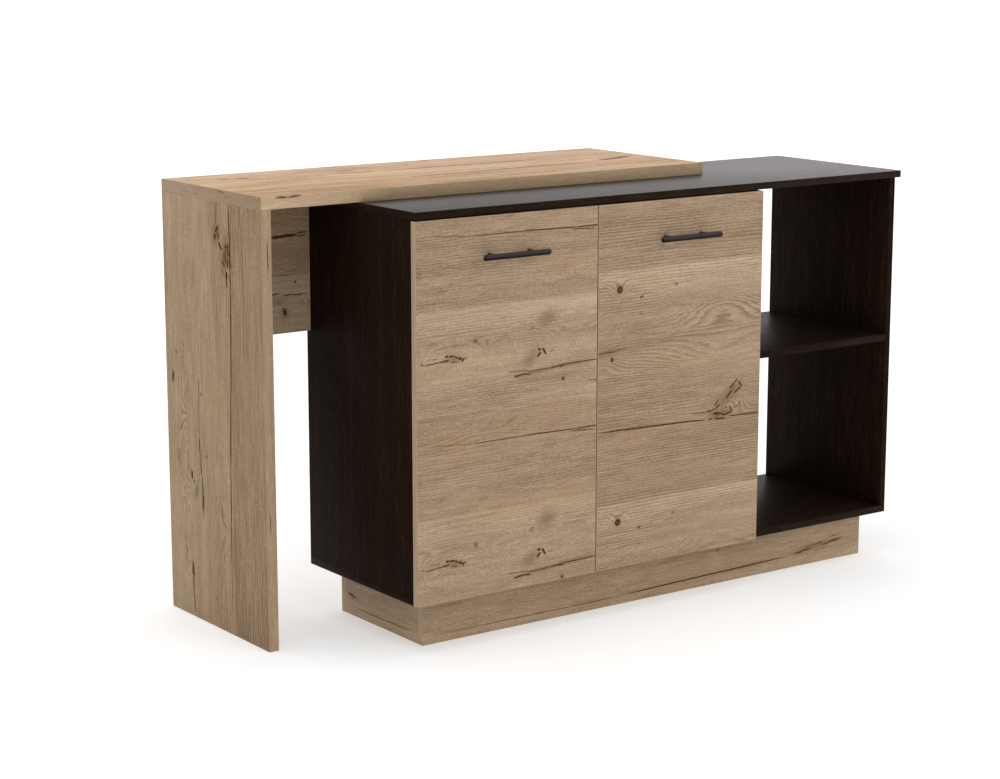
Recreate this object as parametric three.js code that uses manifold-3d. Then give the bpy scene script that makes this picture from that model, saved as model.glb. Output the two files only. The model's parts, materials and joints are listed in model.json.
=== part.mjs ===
// Kitchen island unit: a dark cabinet with two oak doors and an open shelf bay, and an oak bar top
// that lies on it and runs out to the left and the back, onto a full-height oak leg panel.
// Millimetres. X runs right along the front, Y to the back, Z up from the floor. The pieces are
// placed from the cabinet's left outer face and the front edge of its side panels, and the whole
// unit is then moved so that the origin is the bottom centre of its bounding box.

import * as THREE from 'three';
import { mergeVertices } from 'three/addons/utils/BufferGeometryUtils.js';
import Module from 'manifold-3d';

// Board thicknesses
const CARCASS_BOARD = 15;
const DOOR_BOARD = 15;
const PLINTH_BOARD = 15;
const STRETCHER_BOARD = 15;
const LEG_BOARD = 22;
const BAR_BOARD = 25;
const BACK_BOARD = 3;

// Carcass, clear sizes between the boards
const CUPBOARD_WIDTH = 850;
const BAY_WIDTH = 388;
const CLEAR_HEIGHT = 745;
const LOWER_BAY_HEIGHT = 379;
const CARCASS_DEPTH = 383;

// Plinth, and how far it stands back under the base panel
const PLINTH_HEIGHT = 100;
const PLINTH_INSET_LEFT = 48;
const PLINTH_INSET_RIGHT = 40;
const PLINTH_INSET_FRONT = 38;
const PLINTH_INSET_BACK = 43;

// Bar top and its support
const BAR_OVERHANG_LEFT = 220;
const BAR_SETBACK = 180;
const BAR_DEPTH = 400;
const STRETCHER_HEIGHT = 280;

// Back panel in its grooves
const BACK_INSET = 20;
const GROOVE_DEPTH = 6;

// Doors
const DOOR_BACK_GAP = 2;
const DOOR_TOP_GAP = 3;
const DOOR_MEETING_GAP = 3;

// T-bar handles
const HANDLE_BELOW_DOOR_TOP = 77;
const HANDLE_DIAMETER = 12;
const HANDLE_LENGTH = 156;
const HANDLE_PROJECTION = 35;
const HANDLE_EDGE_ROUND = 1;
const POST_SPACING = 96;
const POST_DIAMETER = 9;
const POST_SEAT_DEPTH = 2;
const POST_BORE_ROOM = 4;
const HANDLE_SCREW_DIAMETER = 4;
const HANDLE_SCREW_REACH = 12;

// Concealed hinges, measured from the door's outer edge and from its back face
const HINGE_END_DISTANCE = 100;
const HINGE_AXIS_INSET = 6;
const HINGE_AXIS_IN_DOOR = 12.5;
const DOOR_SWING = 100;
const CUP_CENTRE_INSET = 21;
const CUP_DIAMETER = 34.4;
const CUP_DEPTH = 11.5;
const CUP_WALL = 0.9;
const CUP_FLOOR = 1;
const CUP_FLANGE_THICKNESS = 1.2;
const CUP_FLANGE_WIDTH = 36;
const CUP_FLANGE_LENGTH = 62;
const CUP_FLANGE_ROUND = 8;
const CUP_DOWEL_DIAMETER = 8;
const CUP_DOWEL_LENGTH = 10;
const CUP_DOWEL_SPACING = 48;
const CUP_PIN_RADIUS = 10.5;
const LINK_THICKNESS = 2.2;
const LINK_WIDTH = 8;
const LINK_TIP_CLEARANCE = 1.3;
const LINK_ROOT_BOW = 7.7;
const LINK_ROOT_SHARE = 0.18;
const LINK_TIP_BOW = 8.7;
const LINK_TIP_SHARE = 0.96;
const LINK_EYE_DIAMETER = 5;
const PIVOT_PIN_DIAMETER = 3;
const ARM_PIVOT_HEIGHT = 17;
const ARM_NOSE_DIAMETER = 6.4;
const ARM_WIDTH = 13.6;
const ARM_SHEET = 1.5;
const ARM_LENGTH = 70;
const ARM_BEND = 35;
const ARM_SHOULDER = 14;
const PLATE_SETBACK = 37;
const PLATE_SHEET = 2;
const PLATE_WING_LENGTH = 50;
const PLATE_WING_WIDTH = 14;
const PLATE_SPINE_WIDTH = 20;
const PLATE_REACH_FRONT = 14;
const PLATE_REACH_BACK = 32;
const PLATE_RIDGE_WIDTH = 9;
const PLATE_RIDGE_HEIGHT = 5.8;
const PLATE_SCREW_DIAMETER = 5;
const PLATE_SCREW_LENGTH = 10;
const PLATE_SCREW_SPACING = 32;
const PLATE_SCREW_HEAD_DIAMETER = 8.5;
const PLATE_SCREW_HEAD_HEIGHT = 1.6;

// Cupboard shelf on its pins
const SHELF_SETBACK = 20;
const SHELF_HEIGHT = 372;
const SHELF_SIDE_GAP = 1;
const SHELF_PIN_DIAMETER = 5;
const SHELF_PIN_DEPTH = 8;
const SHELF_PIN_ROOT = 2;
const SHELF_PIN_LEDGE = 9;
const SHELF_PIN_LEDGE_THICKNESS = 3.5;
const SHELF_PIN_LEDGE_RISE = 0.5;
const SHELF_PIN_LEDGE_WIDTH = 7;
const SHELF_PIN_FRONT_INSET = 60;
const SHELF_PIN_BACK_INSET = 60;
const SHELF_HOLE_PITCH = 32;
const SHELF_HOLES_EACH_WAY = 2;

// Bumpers, screws and cam fittings
const BUMPER_DIAMETER = 8;
const BUMPER_EDGE_INSET = 20;
const SCREW_DIAMETER = 4;
const SCREW_HEAD_DIAMETER = 8;
const SCREW_HEAD_HEIGHT = 2.4;
const BAR_SCREW_REACH = 15;
const BAR_SCREW_END_INSET = 120;
const STRETCHER_SCREW_REACH = 35;
const STRETCHER_SCREW_INSET = 50;
const CAM_DIAMETER = 15;
const CAM_DEPTH = 11;
const CAM_SLOT_WIDTH = 2;
const CAM_SLOT_DEPTH = 2;
const CAM_DISTANCE = 30;
const CAM_END_INSET = 60;
const BOLT_DIAMETER = 6;
const BOLT_REACH = 11;

// Gap between pieces that fit into or past each other, and how far a cutter starts outside
const CLEARANCE = 0.3;
const OVERCUT = 1;

// Facets round a full circle
const SMALL_ROUND = 16;
const HANDLE_ROUND = 24;
const CUP_ROUND = 40;
const LINK_STEPS = 14;
const CORNER_STEPS = 3;

// Planes of the cabinet, worked out from the sizes above
const LEFT_INNER = CARCASS_BOARD;
const PARTITION_LEFT = LEFT_INNER + CUPBOARD_WIDTH;
const PARTITION_RIGHT = PARTITION_LEFT + CARCASS_BOARD;
const RIGHT_INNER = PARTITION_RIGHT + BAY_WIDTH;
const CABINET_RIGHT = RIGHT_INNER + CARCASS_BOARD;
const BASE_TOP = PLINTH_HEIGHT + CARCASS_BOARD;
const CEILING = BASE_TOP + CLEAR_HEIGHT;
const CABINET_TOP = CEILING + CARCASS_BOARD;
const BAR_TOP = CABINET_TOP + BAR_BOARD;
const DOOR_BACK = -DOOR_BACK_GAP;
const DOOR_FRONT = DOOR_BACK - DOOR_BOARD;
const DOOR_TOP = CEILING - DOOR_TOP_GAP;
const DOOR_WIDTH = (PARTITION_RIGHT - DOOR_MEETING_GAP) / 2;
const HANDLE_AXIS_Y = DOOR_FRONT - HANDLE_PROJECTION + HANDLE_DIAMETER / 2;
const HANDLE_Z = DOOR_TOP - HANDLE_BELOW_DOOR_TOP;
const LEG_OUTER = -BAR_OVERHANG_LEFT;
const LEG_INNER = LEG_OUTER + LEG_BOARD;
const LEG_MIDDLE = LEG_OUTER + LEG_BOARD / 2;
const BAR_BACK = BAR_SETBACK + BAR_DEPTH;
const STRETCHER_FRONT = CARCASS_DEPTH - STRETCHER_BOARD;
const STRETCHER_BOTTOM = CABINET_TOP - STRETCHER_HEIGHT;
const STRETCHER_MIDDLE = STRETCHER_FRONT + STRETCHER_BOARD / 2;
const BACK_PANEL_REAR = CARCASS_DEPTH - BACK_INSET;
const BACK_PANEL_FRONT = BACK_PANEL_REAR - BACK_BOARD;
const SHELF_UNDERSIDE = BASE_TOP + SHELF_HEIGHT;
const SHELF_BACK = BACK_PANEL_FRONT - CLEARANCE;

const DARK_WOOD = { color: 0x241c17, roughness: 0.45, metalness: 0 };
const OAK = { color: 0xb0967a, roughness: 0.6, metalness: 0 };
const HARDBOARD = { color: 0x2a211c, roughness: 0.7, metalness: 0 };
const BLACK_METAL = { color: 0x17171a, roughness: 0.35, metalness: 0.6 };
const STEEL = { color: 0xb4b6b8, roughness: 0.3, metalness: 0.9 };
const RUBBER = { color: 0xd9d9d4, roughness: 0.5, metalness: 0 };

const wasm = await Module();
wasm.setup();

const unit = new THREE.Group();

// ---- solids ----

function toSolid(geometry) {
  const bare = geometry.clone();
  bare.deleteAttribute('normal');
  bare.deleteAttribute('uv');
  const merged = mergeVertices(bare);
  return new wasm.Manifold(new wasm.Mesh({
    numProp: 3,
    vertProperties: new Float32Array(merged.attributes.position.array),
    triVerts: new Uint32Array(merged.index.array),
  }));
}

function toGeometry(solid) {
  const mesh = solid.getMesh();
  const geometry = new THREE.BufferGeometry();
  geometry.setAttribute('position', new THREE.BufferAttribute(mesh.vertProperties, 3));
  geometry.setIndex(new THREE.BufferAttribute(mesh.triVerts, 1));
  geometry.computeVertexNormals();
  return geometry;
}

function joined(geometries) {
  return toGeometry(geometries.map(toSolid).reduce((all, solid) => all.add(solid)));
}

function cut(geometry, cutters) {
  return toGeometry(cutters.map(toSolid).reduce((left, cutter) => left.subtract(cutter), toSolid(geometry)));
}

// A box between two corners, in the frame of the piece that it belongs to.
function block([x0, y0, z0], [x1, y1, z1]) {
  const box = new THREE.BoxGeometry(x1 - x0, y1 - y0, z1 - z0);
  return box.translate((x0 + x1) / 2, (y0 + y1) / 2, (z0 + z1) / 2);
}

// A round bar from a point, running a length along an axis; a negative length runs backwards.
function rod(axis, [x, y, z], length, diameter, facets = SMALL_ROUND) {
  const bar = new THREE.CylinderGeometry(diameter / 2, diameter / 2, Math.abs(length), facets);
  bar.translate(0, length / 2, 0);
  return alongAxis(bar, axis).translate(x, y, z);
}

// Turns a shape that was made along Y to lie along another axis.
function alongAxis(geometry, axis) {
  if (axis === 'x') geometry.rotateZ(-Math.PI / 2);
  if (axis === 'z') geometry.rotateX(Math.PI / 2);
  return geometry;
}

// A turned piece from its half outline of [radius, distance along the axis].
function turned(outline, facets = SMALL_ROUND) {
  return new THREE.LatheGeometry(outline.map(([r, a]) => new THREE.Vector2(r, a)), facets);
}

// A flat outline in X and Y, given its thickness in Z about the middle.
function plate(outline, width) {
  const shape = new THREE.Shape(outline.map(([x, y]) => new THREE.Vector2(x, y)));
  const solid = new THREE.ExtrudeGeometry(shape, { depth: width, bevelEnabled: false });
  return solid.translate(0, 0, -width / 2);
}

function place(name, geometry, look, [x, y, z] = [0, 0, 0]) {
  const mesh = new THREE.Mesh(geometry, new THREE.MeshStandardMaterial(look));
  mesh.name = name;
  mesh.position.set(x, y, z);
  unit.add(mesh);
}

// A board between two corners, with its holes and grooves cut out.
function board(name, look, low, high, cutters = []) {
  const geometry = block(low, high);
  place(name, cutters.length ? cut(geometry, cutters) : geometry, look);
}

// A hole bored a depth into a face at a point; the sign of the depth gives the way it goes.
function bore(axis, point, depth, diameter, facets = SMALL_ROUND) {
  const start = { x: [1, 0, 0], y: [0, 1, 0], z: [0, 0, 1] }[axis];
  const mouth = point.map((value, i) => value - Math.sign(depth) * OVERCUT * start[i]);
  const length = depth + Math.sign(depth) * (OVERCUT + CLEARANCE);
  return rod(axis, mouth, length, diameter + 2 * CLEARANCE, facets);
}

// ---- where the hinges and handles are ----

// side is +1 for the left door, whose hinges face right, and -1 for the right door.
const DOORS = [
  { name: 'left', side: 1, edge: 0 },
  { name: 'right', side: -1, edge: PARTITION_RIGHT },
];

const HINGE_LEVELS = [
  { name: 'lower', z: PLINTH_HEIGHT + HINGE_END_DISTANCE },
  { name: 'upper', z: DOOR_TOP - HINGE_END_DISTANCE },
];

function doorMiddle(door) {
  return door.edge + door.side * DOOR_WIDTH / 2;
}

function postPlaces(door) {
  return [-1, 1].map((way) => doorMiddle(door) + way * POST_SPACING / 2);
}

// Hinge points are [inset from the door's outer edge, distance behind the door's front face].
const HINGE_AXIS = [HINGE_AXIS_INSET, DOOR_BOARD - HINGE_AXIS_IN_DOOR];
const ARM_PIVOT = [CARCASS_BOARD + ARM_PIVOT_HEIGHT, DOOR_BOARD + DOOR_BACK_GAP];

// The cup's pin turns about the hinge axis, and stands as far from the arm's pivot with the door
// open as with it shut, so it starts half a swing to one side of the line between the two.
function cupPin() {
  const towardsPivot = Math.atan2(ARM_PIVOT[1] - HINGE_AXIS[1], ARM_PIVOT[0] - HINGE_AXIS[0]);
  const angle = towardsPivot + THREE.MathUtils.degToRad(DOOR_SWING) / 2;
  return [HINGE_AXIS[0] + CUP_PIN_RADIUS * Math.cos(angle), HINGE_AXIS[1] + CUP_PIN_RADIUS * Math.sin(angle)];
}

// ---- cutters that the boards share with their fittings ----

function grooveCutter(low, high) {
  return block(
    low.map((value, i) => value - (i === 1 ? CLEARANCE : 0)),
    high.map((value, i) => value + (i === 1 ? CLEARANCE : 0)),
  );
}

function sideGroove(face, way) {
  const bottom = face + way * (GROOVE_DEPTH + CLEARANCE);
  const mouth = face - way * OVERCUT;
  const xs = [Math.min(bottom, mouth), Math.max(bottom, mouth)];
  return grooveCutter(
    [xs[0], BACK_PANEL_FRONT, BASE_TOP - OVERCUT],
    [xs[1], BACK_PANEL_REAR, CEILING + OVERCUT],
  );
}

function levelGroove(face, way) {
  const bottom = face + way * (GROOVE_DEPTH + CLEARANCE);
  const mouth = face - way * OVERCUT;
  const reach = GROOVE_DEPTH + CLEARANCE;
  return grooveCutter(
    [LEFT_INNER - reach, BACK_PANEL_FRONT, Math.min(bottom, mouth)],
    [PARTITION_LEFT + reach, BACK_PANEL_REAR, Math.max(bottom, mouth)],
  );
}

function platePlace(door, level) {
  return [door.edge + door.side * CARCASS_BOARD, PLATE_SETBACK, level.z];
}

function plateScrewHoles(door) {
  return HINGE_LEVELS.flatMap((level) => [-1, 1].map((way) => {
    const [x, y, z] = platePlace(door, level);
    const hole = [x, y, z + way * PLATE_SCREW_SPACING / 2];
    return bore('x', hole, -door.side * PLATE_SCREW_LENGTH, PLATE_SCREW_DIAMETER);
  }));
}

function pinDepths() {
  return [SHELF_SETBACK + SHELF_PIN_FRONT_INSET, SHELF_BACK - SHELF_PIN_BACK_INSET];
}

function pinHeight() {
  return SHELF_UNDERSIDE - SHELF_PIN_LEDGE_RISE - SHELF_PIN_DIAMETER / 2;
}

function pinHoles(face, way) {
  const steps = Array.from({ length: 2 * SHELF_HOLES_EACH_WAY + 1 }, (_, i) => i - SHELF_HOLES_EACH_WAY);
  return pinDepths().flatMap((y) => steps.map((step) => {
    const z = pinHeight() + step * SHELF_HOLE_PITCH;
    return bore('x', [face, y, z], way * SHELF_PIN_DEPTH, SHELF_PIN_DIAMETER);
  }));
}

function barScrewPlaces() {
  const y = (BAR_SETBACK + BACK_PANEL_FRONT) / 2;
  return [LEFT_INNER + BAR_SCREW_END_INSET, PARTITION_LEFT - BAR_SCREW_END_INSET].map((x) => [x, y]);
}

function stretcherScrewHeights() {
  return [STRETCHER_BOTTOM + STRETCHER_SCREW_INSET, CEILING - STRETCHER_SCREW_INSET];
}

function legCamPlaces() {
  const rows = [BAR_SETBACK + CAM_END_INSET, BAR_BACK - CAM_END_INSET];
  return rows.map((y) => [LEG_INNER, y, CABINET_TOP - CAM_DISTANCE]);
}

const STRETCHER_CAM = [LEG_INNER + CAM_DISTANCE, CARCASS_DEPTH, (STRETCHER_BOTTOM + CABINET_TOP) / 2];

// ---- carcass ----

function sidePanels() {
  const doorSide = DOORS[0];
  board('left_side_panel', DARK_WOOD, [0, 0, BASE_TOP], [LEFT_INNER, CARCASS_DEPTH, CEILING], [
    sideGroove(LEFT_INNER, -1),
    ...plateScrewHoles(doorSide),
    ...pinHoles(LEFT_INNER, -1),
    ...stretcherScrewHeights().map((z) => rod(
      'x', [-OVERCUT, STRETCHER_MIDDLE, z], CARCASS_BOARD + 2 * OVERCUT, SCREW_DIAMETER + 2 * CLEARANCE,
    )),
  ]);
  board('right_side_panel', DARK_WOOD, [RIGHT_INNER, 0, BASE_TOP], [CABINET_RIGHT, CARCASS_DEPTH, CEILING]);
}

function partition() {
  const low = [PARTITION_LEFT, 0, BASE_TOP];
  board('partition_panel', DARK_WOOD, low, [PARTITION_RIGHT, CARCASS_DEPTH, CEILING], [
    sideGroove(PARTITION_LEFT, 1),
    ...plateScrewHoles(DOORS[1]),
    ...pinHoles(PARTITION_LEFT, 1),
  ]);
}

function baseAndTop() {
  board('base_panel', DARK_WOOD, [0, 0, PLINTH_HEIGHT], [CABINET_RIGHT, CARCASS_DEPTH, BASE_TOP], [
    levelGroove(BASE_TOP, -1),
  ]);
  board('cabinet_top', DARK_WOOD, [0, DOOR_FRONT, CEILING], [CABINET_RIGHT, CARCASS_DEPTH, CABINET_TOP], [
    levelGroove(CEILING, 1),
    ...barScrewPlaces().map(([x, y]) => rod(
      'z', [x, y, CEILING - OVERCUT], CARCASS_BOARD + 2 * OVERCUT, SCREW_DIAMETER + 2 * CLEARANCE,
    )),
  ]);
}

function backPanel() {
  board(
    'back_panel', HARDBOARD,
    [LEFT_INNER - GROOVE_DEPTH, BACK_PANEL_FRONT, BASE_TOP - GROOVE_DEPTH],
    [PARTITION_LEFT + GROOVE_DEPTH, BACK_PANEL_REAR, CEILING + GROOVE_DEPTH],
  );
}

function shelves() {
  board(
    'cupboard_shelf', DARK_WOOD,
    [LEFT_INNER + SHELF_SIDE_GAP, SHELF_SETBACK, SHELF_UNDERSIDE],
    [PARTITION_LEFT - SHELF_SIDE_GAP, SHELF_BACK, SHELF_UNDERSIDE + CARCASS_BOARD],
  );
  const bayShelf = BASE_TOP + LOWER_BAY_HEIGHT;
  board(
    'open_bay_shelf', DARK_WOOD,
    [PARTITION_RIGHT, 0, bayShelf],
    [RIGHT_INNER, CARCASS_DEPTH, bayShelf + CARCASS_BOARD],
  );
}

// A steel pin in the panel's hole. Its root runs on under a flat ledge that the shelf lies on.
function shelfPin(way) {
  const length = SHELF_PIN_ROOT + SHELF_PIN_DEPTH;
  const peg = rod('x', [-way * SHELF_PIN_ROOT, 0, 0], way * length, SHELF_PIN_DIAMETER);
  const top = SHELF_PIN_DIAMETER / 2 + SHELF_PIN_LEDGE_RISE;
  const xs = [0, -way * SHELF_PIN_LEDGE].sort((a, b) => a - b);
  const ledge = block(
    [xs[0], -SHELF_PIN_LEDGE_WIDTH / 2, top - SHELF_PIN_LEDGE_THICKNESS],
    [xs[1], SHELF_PIN_LEDGE_WIDTH / 2, top],
  );
  return joined([peg, ledge]);
}

function shelfPins() {
  const faces = [['left', LEFT_INNER, -1], ['right', PARTITION_LEFT, 1]];
  const rows = ['front', 'back'];
  for (const [sideName, face, way] of faces) {
    pinDepths().forEach((y, i) => {
      place(`shelf_pin_${sideName}_${rows[i]}`, shelfPin(way), STEEL, [face, y, pinHeight()]);
    });
  }
}

// ---- plinth ----

function plinth() {
  const left = PLINTH_INSET_LEFT;
  const right = CABINET_RIGHT - PLINTH_INSET_RIGHT;
  const front = PLINTH_INSET_FRONT;
  const back = CARCASS_DEPTH - PLINTH_INSET_BACK;
  const inFront = front + PLINTH_BOARD;
  const inBack = back - PLINTH_BOARD;
  const middle = (left + right - PLINTH_BOARD) / 2;
  board('plinth_front', OAK, [left, front, 0], [right, inFront, PLINTH_HEIGHT]);
  board('plinth_back', OAK, [left, inBack, 0], [right, back, PLINTH_HEIGHT]);
  board('plinth_left', OAK, [left, inFront, 0], [left + PLINTH_BOARD, inBack, PLINTH_HEIGHT]);
  board('plinth_right', OAK, [right - PLINTH_BOARD, inFront, 0], [right, inBack, PLINTH_HEIGHT]);
  board('plinth_brace', OAK, [middle, inFront, 0], [middle + PLINTH_BOARD, inBack, PLINTH_HEIGHT]);
}

// ---- bar top, leg and stretcher ----

function barTop() {
  board('bar_top', OAK, [LEG_OUTER, BAR_SETBACK, CABINET_TOP], [PARTITION_RIGHT, BAR_BACK, BAR_TOP], [
    ...barScrewPlaces().map(([x, y]) => bore('z', [x, y, CABINET_TOP], BAR_SCREW_REACH, SCREW_DIAMETER)),
    ...legCamPlaces().map(([, y]) => bore('z', [LEG_MIDDLE, y, CABINET_TOP], BOLT_REACH, BOLT_DIAMETER)),
  ]);
}

function legPanel() {
  board('leg_panel', OAK, [LEG_OUTER, BAR_SETBACK, 0], [LEG_INNER, BAR_BACK, CABINET_TOP], [
    ...legCamPlaces().flatMap((at) => [
      bore('x', at, -CAM_DEPTH, CAM_DIAMETER, HANDLE_ROUND),
      bore('z', [LEG_MIDDLE, at[1], CABINET_TOP], -CAM_DISTANCE, BOLT_DIAMETER),
    ]),
    bore('x', [LEG_INNER, STRETCHER_MIDDLE, STRETCHER_CAM[2]], -BOLT_REACH, BOLT_DIAMETER),
  ]);
}

function stretcherPanel() {
  const low = [LEG_INNER, STRETCHER_FRONT, STRETCHER_BOTTOM];
  const screwMouths = stretcherScrewHeights().map((z) => [0, STRETCHER_MIDDLE, z]);
  board('stretcher_panel', OAK, low, [0, CARCASS_DEPTH, CABINET_TOP], [
    ...screwMouths.map((at) => bore('x', at, -STRETCHER_SCREW_REACH, SCREW_DIAMETER)),
    bore('y', STRETCHER_CAM, -CAM_DEPTH, CAM_DIAMETER, HANDLE_ROUND),
    bore('x', [LEG_INNER, STRETCHER_MIDDLE, STRETCHER_CAM[2]], CAM_DISTANCE, BOLT_DIAMETER),
  ]);
}

// ---- screws, cam fittings and bumpers ----

// A pan-head screw that starts under its head and runs along +Y, with the head behind the origin.
function screw(diameter, length) {
  const head = SCREW_HEAD_DIAMETER / 2;
  const shank = diameter / 2;
  return turned([
    [0, -SCREW_HEAD_HEIGHT],
    [head / 2, -SCREW_HEAD_HEIGHT],
    [head, -SCREW_HEAD_HEIGHT / 2],
    [head, 0],
    [shank, 0],
    [shank, length - diameter],
    [0, length],
  ]);
}

function jointScrews() {
  barScrewPlaces().forEach(([x, y], i) => {
    const length = CARCASS_BOARD + BAR_SCREW_REACH;
    place(`bar_screw_${i + 1}`, alongAxis(screw(SCREW_DIAMETER, length), 'z'), STEEL, [x, y, CEILING]);
  });
  stretcherScrewHeights().forEach((z, i) => {
    const length = CARCASS_BOARD + STRETCHER_SCREW_REACH;
    const body = alongAxis(screw(SCREW_DIAMETER, length), 'x').rotateZ(Math.PI);
    place(`stretcher_screw_${i + 1}`, body, STEEL, [LEFT_INNER, STRETCHER_MIDDLE, z]);
  });
}

// A cam disc with a screwdriver slot in its face, at the origin with its depth along -Y.
function cam() {
  const disc = rod('y', [0, 0, 0], -CAM_DEPTH, CAM_DIAMETER, HANDLE_ROUND);
  const reach = CAM_DIAMETER / 2 + OVERCUT;
  const slot = block([-reach, -CAM_SLOT_DEPTH, -CAM_SLOT_WIDTH / 2], [reach, OVERCUT, CAM_SLOT_WIDTH / 2]);
  return cut(disc, [slot]);
}

// The bolt runs from the cam's rim, along +Y, into the board that the fitting pulls on.
function camBolt() {
  return rod('y', [0, 0, 0], CAM_DISTANCE - CAM_DIAMETER / 2 - CLEARANCE + BOLT_REACH, BOLT_DIAMETER);
}

function camFittings() {
  const rimToBoard = CAM_DISTANCE - CAM_DIAMETER / 2 - CLEARANCE;
  ['front', 'back'].forEach((row, i) => {
    const [x, y, z] = legCamPlaces()[i];
    place(`leg_cam_${row}`, alongAxis(cam(), 'x'), STEEL, [x, y, z]);
    const start = [LEG_MIDDLE, y, CABINET_TOP - rimToBoard];
    place(`leg_bolt_${row}`, alongAxis(camBolt(), 'z'), STEEL, start);
  });
  place('stretcher_cam', cam(), STEEL, STRETCHER_CAM);
  const start = [LEG_INNER + rimToBoard, STRETCHER_MIDDLE, STRETCHER_CAM[2]];
  place('stretcher_bolt', alongAxis(camBolt(), 'x').rotateZ(Math.PI), STEEL, start);
}

function bumpers() {
  const thickness = DOOR_BACK_GAP - CLEARANCE;
  for (const door of DOORS) {
    const x = door.edge + door.side * (DOOR_WIDTH - BUMPER_EDGE_INSET);
    const at = [x, DOOR_BACK, PLINTH_HEIGHT + CARCASS_BOARD / 2];
    place(`${door.name}_door_bumper`, rod('y', [0, 0, 0], thickness, BUMPER_DIAMETER), RUBBER, at);
  }
}

// ---- doors and handles ----

function doorCutters(door) {
  const cups = HINGE_LEVELS.flatMap((level) => {
    const x = door.edge + door.side * CUP_CENTRE_INSET;
    const dowels = [-1, 1].map((way) => bore(
      'y', [x, DOOR_BACK, level.z + way * CUP_DOWEL_SPACING / 2], -CUP_DOWEL_LENGTH, CUP_DOWEL_DIAMETER,
    ));
    return [bore('y', [x, DOOR_BACK, level.z], -CUP_DEPTH, CUP_DIAMETER, CUP_ROUND), ...dowels];
  });
  const screws = postPlaces(door).map((x) => rod(
    'y', [x, DOOR_FRONT - OVERCUT, HANDLE_Z], DOOR_BOARD + 2 * OVERCUT, HANDLE_SCREW_DIAMETER + 2 * CLEARANCE,
  ));
  return [...cups, ...screws];
}

function doors() {
  for (const door of DOORS) {
    const xs = [door.edge, door.edge + door.side * DOOR_WIDTH].sort((a, b) => a - b);
    board(
      `${door.name}_door`, OAK,
      [xs[0], DOOR_FRONT, PLINTH_HEIGHT], [xs[1], DOOR_BACK, DOOR_TOP], doorCutters(door),
    );
  }
}

// The bar lies along X about the origin, with a flat-bottomed seat for each post in its back.
function handleBar() {
  const radius = HANDLE_DIAMETER / 2;
  const half = HANDLE_LENGTH / 2;
  const bar = alongAxis(turned([
    [0, -half],
    [radius - HANDLE_EDGE_ROUND, -half],
    [radius, -half + HANDLE_EDGE_ROUND],
    [radius, half - HANDLE_EDGE_ROUND],
    [radius - HANDLE_EDGE_ROUND, half],
    [0, half],
  ], HANDLE_ROUND), 'x');
  const seats = [-1, 1].map((way) => {
    const mouth = [way * POST_SPACING / 2, radius + OVERCUT, 0];
    return rod('y', mouth, -POST_SEAT_DEPTH - OVERCUT, POST_DIAMETER + 2 * CLEARANCE);
  });
  return cut(bar, seats);
}

// A post from the door's face, along -Y into the bar's seat, with a tapped bore from its foot.
function handlePost() {
  const length = HANDLE_PROJECTION - HANDLE_DIAMETER + POST_SEAT_DEPTH;
  const bored = HANDLE_SCREW_DIAMETER / 2 + CLEARANCE;
  const depth = HANDLE_SCREW_REACH + POST_BORE_ROOM;
  return turned([
    [0, -length],
    [POST_DIAMETER / 2, -length],
    [POST_DIAMETER / 2, 0],
    [bored, 0],
    [bored, -depth],
    [0, -depth],
  ]);
}

function handles() {
  for (const door of DOORS) {
    place(`${door.name}_handle_bar`, handleBar(), BLACK_METAL, [doorMiddle(door), HANDLE_AXIS_Y, HANDLE_Z]);
    postPlaces(door).forEach((x, i) => {
      const shank = DOOR_BOARD + HANDLE_SCREW_REACH;
      const fastener = screw(HANDLE_SCREW_DIAMETER, shank).rotateZ(Math.PI);
      place(`${door.name}_handle_post_${i + 1}`, handlePost(), BLACK_METAL, [x, DOOR_FRONT, HANDLE_Z]);
      place(`${door.name}_handle_screw_${i + 1}`, fastener, STEEL, [x, DOOR_BACK, HANDLE_Z]);
    });
  }
}

// ---- hinges: X is the inset from the door's outer edge, Y the distance behind its front ----

function roundedRectangle(width, length, radius) {
  const [x, y] = [width / 2, length / 2];
  const corners = [[x, y, 0], [-x, y, 1], [-x, -y, 2], [x, -y, 3]];
  const steps = Array.from({ length: CORNER_STEPS + 1 }, (_, i) => i / CORNER_STEPS);
  return corners.flatMap(([cx, cy, quarter]) => steps.map((step) => {
    const angle = (quarter + step) * Math.PI / 2;
    const centre = [cx - Math.sign(cx) * radius, cy - Math.sign(cy) * radius];
    return [centre[0] + radius * Math.cos(angle), centre[1] + radius * Math.sin(angle)];
  }));
}

// The cup sinks into the door from its back face, which is the plane Y = 0 here.
function hingeCup() {
  const outline = roundedRectangle(CUP_FLANGE_WIDTH, CUP_FLANGE_LENGTH, CUP_FLANGE_ROUND);
  const middle = CUP_FLANGE_THICKNESS / 2;
  const flange = plate(outline, CUP_FLANGE_THICKNESS).rotateX(-Math.PI / 2).translate(0, middle, 0);
  const cup = rod('y', [0, -CUP_DEPTH, 0], CUP_DEPTH + middle, CUP_DIAMETER, CUP_ROUND);
  const dowels = [-1, 1].map((way) => {
    const start = [0, middle, way * CUP_DOWEL_SPACING / 2];
    return rod('y', start, -CUP_DOWEL_LENGTH - middle, CUP_DOWEL_DIAMETER);
  });
  const mouth = rod(
    'y', [0, CUP_FLANGE_THICKNESS + OVERCUT, 0],
    CUP_FLOOR - CUP_DEPTH - CUP_FLANGE_THICKNESS - OVERCUT, CUP_DIAMETER - 2 * CUP_WALL, CUP_ROUND,
  );
  return cut(joined([flange, cup, ...dowels]), [mouth]);
}

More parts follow.
